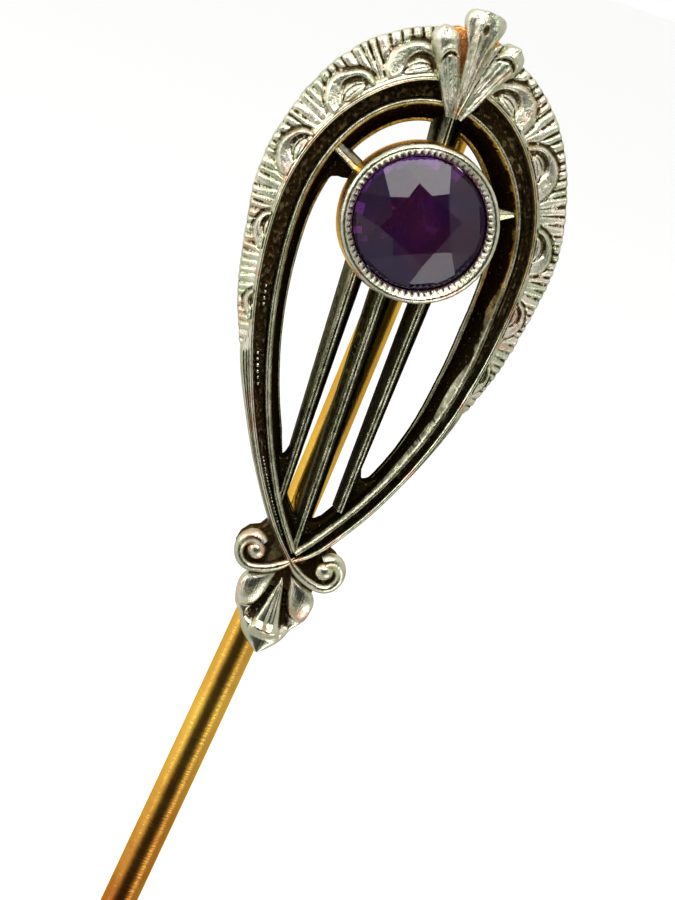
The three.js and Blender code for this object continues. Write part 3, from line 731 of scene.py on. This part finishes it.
# height of the chased pattern at length s and distance w from the border wire, and its polish
def chasing(side, s, w):
    shape = rimShape
    width = rimWidth(s)
    middle, lean = min(shape["leaves"][side], key=lambda leaf: abs(leaf[0] - s))
    size = 0.7 + 0.34 * rise(7.5, 15, middle)
    y = w / size
    x = (s - middle) / size - lean * y + 0.05 * wave((s, w, side * 5), 0.6, 1)
    wobble = 0.05 * wave((s, w, side * 5), 0.4, 1)
    # the arched leaf, measured from its foot at the border wire: full on one side, thin on the other
    archWidth, archTop = shape["leafWidth"], 0.8 * min(width / size, 1.3) / 1.05
    reach = math.hypot(x / archWidth, max(y - 0.02, 0) / archTop) + wobble
    inner = math.hypot((x - 0.16) / (0.6 * archWidth), max(y - 0.02, 0) / (0.66 * archTop)) + wobble
    depth, polish = 0.0, 0.8
    outside = rise(0.98, 1.08, reach)
    # gouged flutes fan out between the leaf and the edge, each widest at the edge
    phase = (s / shape["flutePitch"] + 0.55 * wave((s, 0.2 * w, side), 0.45, 4) + 0.25 * lean * w
             + 0.24 * x * (y - archTop))
    flute = 1 - abs(math.sin(math.pi * phase))
    spread = rise(0.15, 1.0, w / width + 0.4 * wave((round(phase), side, 3), 0.7, 2))
    gouge = flute ** (2.6 - 1.7 * spread) * (0.35 + 0.65 * spread)
    depth -= outside * gouge * shape["fluteDepth"]
    polish -= 0.7 * outside * gouge
    # groove round the leaf, then its raised rounded body
    groove = bump((reach - 1.03) / 0.1) * (0.6 + 0.4 * rise(-0.3, 0.3, x))
    depth -= shape["grooveDepth"] * groove
    polish -= 0.55 * groove
    body = rise(1.02, 0.86, reach) * rise(0.92, 1.1, inner)
    depth += shape["bodyHeight"] * body * (1 - 0.5 * rise(0.9, 0.5, reach))
    # hollow under the leaf, deepest on its thin side; its dark skin is patina with painted shadow over it,
    # heaviest on that side
    hollow = bump((inner - 0.86) / 0.2) * rise(0.02, 0.2, y)
    depth -= shape["hollowDepth"] * hollow * (0.5 + 0.5 * rise(-0.3, 0.4, x))
    polish -= 0.95 * hollow * (0.3 + 0.7 * rise(-0.25, 0.4, x))
    # pointed hood over the seed
    hood = lens(x - 0.2, y - 0.18, 0.62, 0.36 if y > 0.18 else 0.2)
    depth += shape["hoodHeight"] * min(max(hood, 0) * 2.5, 1) + 0.03 * bump((hood - 0.05) / 0.16)
    seed = lens(x - 0.1, y - 0.19 - 0.08 * (x - 0.1), 0.4, 0.16)
    ditch = bump((seed + 0.1) / 0.2)
    depth -= shape["ditchDepth"] * ditch
    polish -= 0.4 * ditch
    if seed > 0:
        depth += shape["seedHeight"] * math.sqrt(seed)
        depth -= 0.03 * bump((y - 0.19 - 0.1 * x) / 0.035) * rise(0.0, 0.3, seed)
    depth *= 1 - rise(0.14, 0.05, w)    # fades to plain metal beside the border wire
    return depth, min(max(polish + 0.25 * wave((s, w, side), 0.25, 9), 0), 1)


def makeRim(side):
    shape = rimShape
    start = shape["start"][side]
    rings = []
    count = int((shape["end"] - start) / shape["step"])
    for i in range(count + 1):
        s = start + (shape["end"] - start) * i / count
        inner = between(frameShape["borderCrest"][side], s) + 0.09
        width = rimWidth(s)
        phase = s / shape["flutePitch"] + 0.45 * wave((s, 0.2 * width, side), 0.45, 4)
        outer = width + 0.015 * abs(math.sin(math.pi * phase)) + 0.03 * wave((s, 0, side), 0.35)
        outer -= 0.3 * (1 - rise(0, 0.25, s - start)) * width   # rounded lower end
        ring = []
        for k in range(shape["across"] + 1):
            q = k / shape["across"]
            w = inner + (outer - inner) * q
            depth, polish = chasing(side, s, w)
            fall = shape["innerHeight"] + (shape["outerHeight"] - shape["innerHeight"]) * q
            edge = 0.05 * rise(0.94, 1.0, q) + 0.12 * (1 - rise(0, 0.1, s - start))
            ring.append((onHead(side, s, w, fall + depth - edge), polish))
        for h in (0.7, 0.6, 0.52):
            ring.append((onHead(side, s, outer + 0.01, min(h, ring[shape["across"]][0].z - 0.02)), 0.5))
        ring.append((onHead(side, s, outer - 0.05, frameShape["solderHeight"]), 0.3))
        ring.append((onHead(side, s, inner, frameShape["solderHeight"]), 0))
        rings.append(ring)
    addSide(side, "engravedRim", rings, chasedGold, "engraved_rim_", 70)


for side in (-1, 1):
    makeRim(side)

print("milgrain beads")

beadRows = [    # first and last length along the left border wire, spacing, radius, distance outside it
    {"start": 0.85, "end": 3.35, "pitch": 0.107, "radius": 0.054, "offset": -0.03, "height": 0.99},
    {"start": 5.6, "end": 6.65, "pitch": 0.19, "radius": 0.068, "offset": -0.08, "height": 0.98},
    {"start": 8.05, "end": 8.75, "pitch": 0.19, "radius": 0.062, "offset": -0.16, "height": 0.96},
]


def makeBeads():
    bm = bmesh.new()
    polishAndPaintedLight = bm.verts.layers.float.new("polishAndPaintedLight")
    for row in beadRows:
        for i in range(int((row["end"] - row["start"]) / row["pitch"]) + 1):
            s = row["start"] + i * row["pitch"]
            spot = onHead(-1, s, row["offset"] + 0.01 * wave((s, 0, 0), 0.2), row["height"])
            size = row["radius"] * (1 + 0.25 * wave((s, 1, 0), 0.15))
            stretch = Matrix.Translation(spot) @ Matrix.Diagonal((1, 1, 1.3, 1))
            made = bmesh.ops.create_icosphere(bm, subdivisions=2, radius=size, matrix=stretch)
            for vert in made["verts"]:    # bright on top, brown between
                vert[polishAndPaintedLight] = 0.2 + rise(0.3 * size, 1.2 * size, vert.co.z - spot.z)
    addPiece("milgrainStrip", bm, agedWhiteGold, ("milgrain_strip",), 180)


makeBeads()

print("bars and rays")

# both ends in the head's plane and the width at each, how far the ridge lies off the middle, the ridge's
# half width at each end, and how bright the flanks are
bars = {
    "bar_left": {"ends": [(-1.0, 10.1), (-0.84, 1.62)], "widths": (0.68, 0.3), "crest": 0.08},
    "bar_centre": {"ends": [(0.02, 9.6), (0.07, 0.34)], "widths": (0.72, 0.4), "crest": 0.09},
    "bar_right": {"ends": [(1.3, 9.9), (0.98, 1.9)], "widths": (0.66, 0.34), "crest": 0.05},
    "top_bar": {"ends": [(0.22, 14.62), (0.26, 13.4)], "widths": (0.98, 0.84), "crest": 0.04, "flank": 0.0},
    "ray_upper_left": {"ends": [(-2.88, 12.48), (-1.5, 11.8)], "widths": (0.46, 0.44), "crest": 0.0,
                       "ridge": (0.15, 0.15), "flank": 1.6},
    "ray_right": {"ends": [(3.02, 12.2), (2.2, 11.93)], "widths": (0.2, 0.62), "crest": 0.0,
                  "ridge": (0.06, 0.26), "flank": 2.6},
}
barHeight = 1.2
barStep = 0.07


def makeBar(name, bar):
    start, end = [Vector(place) for place in bar["ends"]]
    along = (end - start).normalized()
    across = Vector((-along.y, along.x))
    if along.y < 0 and abs(along.x) < 0.5:    # on the upright ones the ridge lies left of the middle
        across = -across
    steps = max(int((end - start).length / barStep), 8)
    rings = []
    for i in range(steps + 1):
        t = i / steps
        middle = start + (end - start) * t
        half = (bar["widths"][0] + (bar["widths"][1] - bar["widths"][0]) * t) / 2
        # two fine lines run along the ridge; the flank below it has a shoulder
        c, top = bar["crest"], barHeight
        flank, ridge = bar.get("flank", 1.0), bar.get("ridge", (0.075, 0.075))
        r = ridge[0] + (ridge[1] - ridge[0]) * t
        profile = [(half, 0.04, 0), (half, 0.5, 0.05), (c + 0.6 * (half - c), 0.86, 0.3 * flank),
                   (c + r + 0.03, top - 0.1, 0.7), (c + r, top - 0.02, 0.95), (c + r - 0.02, top, 1),
                   (c + 0.02, top - 0.035, 0.3 * flank), (c, top - 0.045, 0.2 * flank),
                   (c - 0.02, top - 0.03, 0.3 * flank), (c - r + 0.02, top, 1), (c - r, top - 0.02, 0.95),
                   (c - r - 0.035, top - 0.1, 0.7), (c - 0.42 * (half + c), 0.93, 0.42 * flank),
                   (c - 0.62 * (half + c), 0.74, 0.0), (-half, 0.5, 0.0), (-half, 0.04, 0)]
        ring = []
        for x, h, polish in profile:
            spot = (middle + across * x).to_3d()
            spot.z = h
            if polish < 0.5:
                spot += Vector((0, 0, 0.02 * wave(spot, 0.15)))
            ring.append((spot, polish))
        rings.append(ring)
    addPiece(name.replace("_", "-"), loft(rings), agedWhiteGold, (name,))


for name, bar in bars.items():
    makeBar(name, bar)

print("setting: cup, seat, milgrain collar and stone")

setting = {
    "middle": (0.19, 11.09),
    "stoneRadius": 2.0,
    "tableRadius": 0.93,
    "starRadius": 1.25,
    "crownHeight": 0.5,
    "girdleTop": 1.97,
    "girdleThickness": 0.08,
    "pavilionDepth": 1.25,
    "turn": 89,                   # degrees to the stone's first main facet
    "bore": 2.03,
    "lipTop": 2.25,
    "cupTop": 1.94,
    "floorHeight": 0.5,
    "floorThickness": 0.1,
    "grains": 70,
}
toSetting = Matrix.Translation((*setting["middle"], 0))


def around(angle, r, z):
    return Vector((r * math.cos(angle), r * math.sin(angle), z))


# a ring of matching sections round the setting's middle; profile(angle) gives radius, height and polish
def turned(profile, steps):
    rings = []
    for i in range(steps):
        angle = 2 * math.pi * i / steps
        rings.append([(around(angle, r, h), polish) for r, h, polish in profile(angle)])
    bm = loft(rings, closed=True)
    bmesh.ops.transform(bm, matrix=toSetting, verts=bm.verts)
    return bm


def makeSetting():
    size = setting

    def cupProfile(angle):
        top = size["cupTop"]
        dent = 0.03 * wave(around(angle, 1, 0), 0.5)
        # the bore inside the cup is dark skin as painted shade under the stone
        return [(size["bore"], 0.05, -0.6), (2.15, 0.05, 0.3), (2.15, 0.7, 0.3), (2.17, 0.75, 0.3),
                (2.32, 0.75, 0.6), (2.35, 0.8, 0.9), (2.41 + 0.4 * dent, 1.0, 1), (2.44 + dent, 1.2, 1),
                (2.445 + dent, 1.45, 1), (2.415 + dent, 1.7, 1), (2.385, 1.85, 1), (2.365, top, 0.8),
                (size["bore"], top, -0.6)]

    def collarProfile(angle):
        # the inner half of the lip is notched all round with a knurling tool
        phase = angle * size["grains"] / (2 * math.pi)
        grain = abs(math.sin(math.pi * (phase + 0.2 * wave(around(angle, 1, 0), 0.15))))
        notch = (1 - grain ** 0.7) * (0.075 + 0.04 * wave(around(angle, 1, 3), 0.3))
        rough = 0.012 * wave(around(angle, 1, 1), 0.06)
        low, high = size["girdleTop"], size["lipTop"]
        dip = 0.8 * (1 - grain)
        return [(size["bore"] + 0.02, low, 0), (2.41, low, 0.4), (2.42, low + 0.1, 0.7),
                (2.41 + rough, high - 0.1, 0.9), (2.38 + rough, high - 0.05, 1),
                (2.335 + rough, high - 0.014, 1), (2.29, high, 1), (2.245, high - 0.012, 1),
                (2.2, high - 0.035 - 0.3 * notch, 1 - 0.4 * dip),
                (2.15, high - 0.065 - notch, 0.9 - dip), (2.1, high - 0.1 - notch, 0.9 - dip),
                (2.06 + 0.3 * notch, high - 0.14 - notch, 0.8 - dip), (2.03 + 0.3 * notch, high - 0.2, 0.1)]

    def seatProfile(angle):
        low = size["girdleTop"] - size["girdleThickness"] - 0.05
        # all dark skin: painted shade under the stone
        return [(1.7, low - 0.65, 0), (2.0, low - 0.55, 0), (2.0, low - 0.02, 0), (1.7, low - 0.2, 0)]

    addPiece("bezelCup", turned(cupProfile, 160), bezelGold, ("bezel_cup",))
    addPiece("milgrainCollar", turned(collarProfile, size["grains"] * 7), whiteGold,
             ("milgrain_collar",), 60)
    # a thin floor closes the setting, so that no light comes through the stone from behind
    floor = bmesh.new()
    bmesh.ops.create_cone(floor, cap_ends=True, segments=96, radius1=2.0, radius2=2.0,
                          depth=size["floorThickness"],
                          matrix=toSetting @ Matrix.Translation((0, 0, size["floorHeight"])))
    setPolishAndPaintedLight(floor, lambda vert: 0.8)
    addPiece("bezelSeat", join([turned(seatProfile, 96), floor]), seatGold, ("bezel_seat",),
             40)


# facets are cut one by one from a round blank, as the stone was
def makeStone():
    size = setting
    radius, table = size["stoneRadius"] - 0.01, size["tableRadius"]
    depth, crown = size["pavilionDepth"], size["crownHeight"]
    girdleHigh, girdleLow = size["girdleTop"], size["girdleTop"] - size["girdleThickness"]
    bm = bmesh.new()
    height = crown + depth + size["girdleThickness"]
    bmesh.ops.create_cone(bm, cap_ends=True, segments=96, radius1=radius, radius2=radius, depth=height,
                          matrix=Matrix.Translation((0, 0, girdleLow - depth + height / 2)))

    def facet(a, b, c):
        outward = (b - a).cross(c - a).normalized()
        middle = Vector((0, 0, girdleLow))
        if outward.dot(a - middle) < 0:
            outward = -outward
        cut(bm, a, outward)

    eighth = math.pi / 4
    tableTop = girdleHigh + crown
    slope = crown / (radius - table)
    starHeight = tableTop - (size["starRadius"] * math.cos(eighth / 2) - table) * slope
    culet = Vector((0, 0, girdleLow - depth))
    for i in range(8):
        angle = math.radians(size["turn"]) + i * eighth
        half = angle + eighth / 2
        star = around(half, size["starRadius"], starHeight)
        corner = around(angle, table, tableTop)
        # kite-shaped main facet, star facet beside the table, break facet at the girdle
        facet(star, corner, around(angle, radius, girdleHigh))
        facet(star, corner, around(angle + eighth, table, tableTop))
        facet(star, around(half - 0.2, radius, girdleHigh), around(half + 0.2, radius, girdleHigh))
        # pavilion: mains to the culet, halves under the girdle
        facet(culet, around(half - eighth / 2, radius, girdleLow),
              culet + around(half - eighth / 2 + math.pi / 2, 1, 0))
        for sign in (-1, 1):
            facet(around(half, 1.35, girdleLow - depth * 0.27), around(half, radius, girdleLow),
                  around(half + sign * eighth / 2, radius, girdleLow))
    bmesh.ops.remove_doubles(bm, verts=bm.verts, dist=1e-4)
    bmesh.ops.recalc_face_normals(bm, faces=bm.faces)
    bmesh.ops.transform(bm, matrix=toSetting, verts=bm.verts)
    addPiece("amethystStone", bm, amethyst, ("amethyst",), 1)


makeSetting()
makeStone()

print("fleur, scrolls and palmette")

# middle line from foot to head, half width along it, where the head rolls over and how far that line
# bows, height of the edge and of the dome on it
leafShapes = {
    "fleur_leaf_left": {
        "line": [(0.1, 14.38), (-0.2, 15.2), (-0.5, 15.9), (-0.98, 16.93)],
        "widths": [(0, 0.14), (0.2, 0.24), (0.45, 0.33), (0.65, 0.37), (0.82, 0.45), (0.91, 0.42),
                   (0.965, 0.3), (1, 0.04)],
        "curl": (0.6, 0.15), "base": 1.4, "crown": 0.42},
    "fleur_leaf_right": {
        "line": [(0.32, 14.38), (0.6, 15.2), (0.85, 15.9), (1.4, 16.97)],
        "widths": [(0, 0.14), (0.2, 0.24), (0.45, 0.31), (0.65, 0.37), (0.82, 0.46), (0.91, 0.44),
                   (0.965, 0.32), (1, 0.04)],
        "curl": (0.74, 0.13), "base": 1.4, "crown": 0.42},
    "fleur_leaf_centre": {
        "line": [(0.2, 14.35), (0.2, 15.4), (0.18, 16.6), (0.18, 17.72)],
        "widths": [(0, 0.1), (0.25, 0.18), (0.5, 0.28), (0.65, 0.37), (0.8, 0.57), (0.88, 0.64),
                   (0.95, 0.58), (0.985, 0.42), (1, 0.06)],
        "curl": None, "base": 1.45, "crown": 0.5},
}


def makeLeaf(name, leaf):
    steps, across = 90, 36
    line = curve(leaf["line"], steps + 1)
    rings = []
    for i, middle in enumerate(line):
        t = i / steps
        ahead = (line[min(i + 1, steps)] - line[max(i - 1, 0)]).normalized()
        outward = Vector((ahead.y, -ahead.x, 0))
        half = between(leaf["widths"], t)
        ring = []
        for k in range(across + 1):
            u = -1 + 2 * k / across
            dome = math.sqrt(max(1 - u * u, 0))
            lift = 0.35 + 0.65 * rise(0, 0.75, t) - 0.25 * rise(0.85, 1, t)
            h = leaf["base"] + leaf["crown"] * lift * dome ** 0.8
            polish = 0.75
            if leaf["curl"]:
                # the leaf's head rolls over and ends in a crescent lip
                place, bow = leaf["curl"]
                front = place + bow * (1 - u * u) + 0.03 * u
                over = rise(front - 0.012, front + 0.012, t)
                lip = bump((t - front - 0.03) / 0.05)
                shade = bump((t - front + 0.015) / 0.035)
                soft = rise(1.0, 0.6, abs(u))
                h += (0.07 * over + 0.035 * lip - 0.07 * shade) * dome * soft
                # the band just below the roll is painted shade
                polish += 0.25 * lip - 0.55 * shade * soft
                crease = (bump((u + 0.3) / 0.2) + 0.6 * bump((u - 0.4) / 0.16)) * (1 - over)
                h -= 0.035 * crease * rise(0.05, 0.3, t)
                polish -= 0.18 * crease
            else:
                # flutes spread from the foot; a small dimple sits in the head
                flutes = 2.5
                flute = 0.5 - 0.5 * math.cos(math.pi * flutes * (u + 1) + math.pi)
                deep = 0.05 + 0.04 * rise(0.4, 0.7, t) - 0.07 * rise(0.85, 0.97, t)
                h -= deep * (1 - flute)
                polish -= 0.35 * (1 - flute) * (1 - rise(0.8, 0.95, t))
                dimple = bump(math.hypot(u / 0.26, (t - 0.84) / 0.075))
                h -= 0.12 * dimple
                polish -= 0.5 * dimple
            h += 0.012 * wave((u, t * 3, len(name)), 0.2)
            spot = middle + outward * half * u
            ring.append((Vector((spot.x, spot.y, h)), min(max(polish, 0), 1)))
        for u in (1, -1):
            spot = middle + outward * half * u
            ring.append((Vector((spot.x, spot.y, leaf["base"] - 0.1)), 0.4))
        rings.append(ring)
    addPiece("fleurLeaf." + name.split("_")[2], loft(rings), chasedGold, (name,), 60)


fleurShape = {
    "back": [(0.0, 14.45), (-0.25, 15.2), (-0.6, 16.1), (-0.85, 16.7), (-0.72, 16.95), (-0.52, 17.02),
             (-0.3, 17.0), (0.7, 16.95), (0.92, 16.86), (1.05, 16.7), (0.9, 16.1), (0.6, 15.2),
             (0.42, 14.45)],
    "backHeights": (1.12, 1.55),
    "fold": [(0.26, 14.5), (0.42, 15.3), (0.55, 16.1), (0.86, 16.9)],
    "foldHeight": 1.5,
}


def makeFleurBack():
    bm = slab(fleurShape["back"], *fleurShape["backHeights"], 0.05, 0.8)
    addPiece("fleurBack", bm, roseGold, ("fleur_back",))


# a low pale fold between the centre leaf and the right one
def makeFleurFold():
    low = fleurShape["foldHeight"]
    rings = []
    for i, middle in enumerate(curve(fleurShape["fold"], 41)):
        half = 0.06 + 0.17 * rise(0, 36, i) - 0.12 * rise(36, 40, i)
        across = Vector((half, -0.3 * half, 0))
        ring = []
        for k in range(13):
            u = -1 + k / 6
            h = low + 0.22 * math.sqrt(max(1 - u * u, 0)) - 0.05 * bump((u - 0.1) / 0.3)
            ring.append((middle + across * u + Vector((0, 0, h)), 0.7 - 0.3 * bump(u / 0.4)))
        ring += [(middle + across * u + Vector((0, 0, low - 0.1)), 0.3) for u in (1, -1)]
        rings.append(ring)
    addPiece("fleurFold", loft(rings), chasedGold, (), 60)


for name, leaf in leafShapes.items():
    makeLeaf(name, leaf)
makeFleurFold()
makeFleurBack()

scroll = {
    "lead": [(-0.12, 0.12), (0.12, -0.12), (0.45, -0.42)],    # from the crossing to the spiral
    "middle": (1.12, -0.03),
    "radius": (0.5, 0.47),        # where the spiral starts and ends
    "turn": (-105, 112),          # degrees
    "wire": 0.15,
    "leadWire": 0.08,
    "height": 1.0,
    "ball": 0.3,
    "plate": [(0.0, 0.28), (0.35, 0.62), (0.62, 0.9), (0.95, 0.92), (1.1, 0.68), (1.4, 0.55), (1.6, 0.3),
              (1.66, 0.0), (1.58, -0.32), (1.3, -0.56), (1.02, -0.72), (1.02, -0.95), (0.4, -1.0),
              (0.0, -0.9)],      # right half of the plate's outline
    "plateHeights": (0.02, 0.72),
}


# a round wire along a line of places, with its radius at each. Its side toward the front of the head is
# painted bright and its side toward the back painted shade; shade leans the painted bright side over
def wire(points, radii, sides, flat=1.0, shade=0.0):
    rings = []
    for i, point in enumerate(points):
        ahead = (points[min(i + 1, len(points) - 1)] - points[max(i - 1, 0)]).normalized()
        side = ahead.cross(Vector((0, 0, 1))).normalized()
        up = side.cross(ahead)
        ring = []
        for k in range(sides):
            angle = 2 * math.pi * k / sides
            spot = point + (side * math.cos(angle) + up * math.sin(angle) * flat) * radii[i]
            # painted light: bright where the wire turns to the front, painted shade where it turns to the
            # back
            paintedLitSide = rise(-0.6, 0.5, math.sin(angle) + shade * math.cos(angle))
            ring.append((spot, 0.9 * (0.25 + 0.75 * paintedLitSide)))
        rings.append(ring)
    return loft(rings)


def makeVolute(side):
    size = scroll
    middle = Vector(size["middle"])
    first, last = size["radius"]
    start, end = [math.radians(a) for a in size["turn"]]
    lead = curve([*size["lead"], middle + Vector((math.cos(start), math.sin(start))) * first], 24)
    points, radii = [], []
    for i, p in enumerate(lead[:-1]):
        points.append(Vector((side * p.x, p.y, size["height"] + 0.12 - 0.1 * i / 23)))
        radii.append(size["leadWire"] + (size["wire"] - size["leadWire"]) * rise(0, 12, i))
    steps = 60
    for i in range(steps + 1):
        t = i / steps
        angle = start + (end - start) * t
        r = first + (last - first) * t - 0.14 * rise(0.75, 1.05, t)
        p = middle + Vector((math.cos(angle), math.sin(angle))) * r
        points.append(Vector((side * p.x, p.y, size["height"] + 0.02 + 0.1 * rise(0.5, 1, t))))
        radii.append(size["wire"] * (1 + 0.55 * bump((t - 0.85) / 0.5)))
    # the wire's painted highlight runs along one edge and its painted shade along the other
    addPiece("volute." + sideNames[side], wire(points, radii, 24, 1.25, -1.1 * side), whiteGold,
             ("volute_" + sideNames[side],), 80)
    ball = bmesh.new()
    spot = Vector((side * (middle.x - 0.03), middle.y + 0.06, size["height"] + 0.06))
    bmesh.ops.create_uvsphere(ball, u_segments=40, v_segments=24, radius=size["ball"],
                              matrix=Matrix.Translation(spot))
    # painted light: the ball's upper half is painted bright and its lower half painted shade
    setPolishAndPaintedLight(ball, lambda vert: 0.4 + 0.6 * rise(-0.02, 0.2, vert.co.y - spot.y))
    addPiece("voluteBall." + sideNames[side], ball, whiteGold,
             ("volute_ball_" + sideNames[side],), 180)


def makeScrollPlate():
    half = scroll["plate"]
    bm = slab(half + [(-x, y) for x, y in half[-2:0:-1]], *scroll["plateHeights"], 0.06, 0.05)
    # chopped up finely so the rough, dug-out ground has real relief
    bmesh.ops.triangulate(bm, faces=bm.faces)
    bmesh.ops.subdivide_edges(bm, edges=bm.edges, cuts=6, use_grid_fill=True)
    for vert in bm.verts:
        if vert.co.z > 0.7:
            vert.co.z += 0.06 * wave(vert.co, 0.2) + 0.04 * wave(vert.co, 0.08, 3)
    addPiece("scrollPlate", bm, oxidisedGold, ("scroll_plate",), 60)


palmetteShape = {
    "top": -0.45, "tip": -3.06, "base": 0.4, "highest": 1.1, "centre": -0.3,
    "widths": [(0, 0.3), (0.06, 0.72), (0.14, 1.05), (0.25, 1.19), (0.4, 1.17), (0.53, 1.07), (0.63, 0.85),
               (0.7, 0.76), (0.8, 0.64), (0.9, 0.42), (0.96, 0.24), (1.0, 0.08)],
}


def makePalmette():
    shape = palmetteShape
    steps, across = 110, 96
    rings = []
    for i in range(steps + 1):
        t = i / steps
        y = shape["top"] + (shape["tip"] - shape["top"]) * t
        half = between(shape["widths"], t)
        ring = []
        for k in range(across + 1):
            u = -1 + 2 * k / across
            x = half * u - 0.01
            # everything fans out from a point under the crossing
            radius = math.hypot(x, y - shape["centre"])
            angle = math.degrees(math.atan2(x, shape["centre"] - y))
            h = shape["base"] + 0.22 * math.sqrt(max(1 - abs(u) ** 4, 0))
            polish = 0.7
            # a pillow-shaped lobe on each side
            far = math.hypot((abs(angle) - 52) / 33, (radius - 1.12) / 0.85)
            h += 0.34 * math.sqrt(max(1 - far * far, 0))
            # brown grooves run from the top on each side of the tongue
            groove = bump((abs(angle) - 17.5) / 7.5) * rise(2.1, 1.7, radius) * rise(0.1, 0.4, radius)
            h -= 0.14 * groove
            polish -= 0.8 * groove
            # rounded tongue with one flute down its middle
            tongue = math.sqrt(max(1 - (angle / 13) ** 2, 0))
            tongue *= rise(0.1, 0.6, radius) * rise(2.35, 2.0, radius)
            flute = bump((angle - 1) / 5) * rise(0.3, 0.8, radius) * rise(2.2, 1.9, radius)
            h += 0.22 * tongue - 0.07 * flute
            # a bulging lip round the lower end
            h += 0.16 * rise(1.75, 2.1, radius) * math.sqrt(max(1 - u * u, 0))
            h += 0.006 * wave((x, y, 0), 0.3)
            ring.append((Vector((x, y, min(h, shape["highest"]))), min(max(polish, 0), 1)))
        # sides and flat back
        ring += [(Vector((x, y, h)), polish) for x, h, polish in (
            (half * 0.98, 0.3, 0.5), (half * 0.85, 0.02, 0.3), (-half * 0.85, 0.02, 0.3),
            (-half * 0.98 - 0.03, 0.3, 0.5))]
        rings.append(ring)
    addPiece("palmette", loft(rings), whiteGold, ("palmette",), 70)


for side in (-1, 1):
    makeVolute(side)
makeScrollPlate()
makePalmette()

print("stem")

stem = {    # soldered straight up the back of the head, bent a little below it, ground to a point
    "top": 14.1, "length": 62, "taper": 14, "radius": 0.525, "tipRadius": 0.06,
    "depth": -0.555, "slope": 0.0775, "bend": 0.0275, "bendLength": 4, "shift": -0.033, "polish": 0.85,
}


def makeStem():
    size = stem
    points, radii = [], []
    steps = 320
    for i in range(steps + 1):
        y = size["top"] - size["length"] * i / steps
        x = size["slope"] * y - size["bend"] * math.hypot(y, size["bendLength"]) + size["shift"]
        points.append(Vector((x, y, size["depth"])))
        swell = math.sin(min((steps - i) * size["length"] / steps / size["taper"], 1) * math.pi / 2)
        radii.append(size["tipRadius"] + (size["radius"] - size["tipRadius"]) * swell)
    bm = setPolishAndPaintedLight(wire(points, radii, 48), lambda vert: size["polish"])
    addPiece("pinStem", bm, yellowGold, ("pin_stem",))


makeStem()
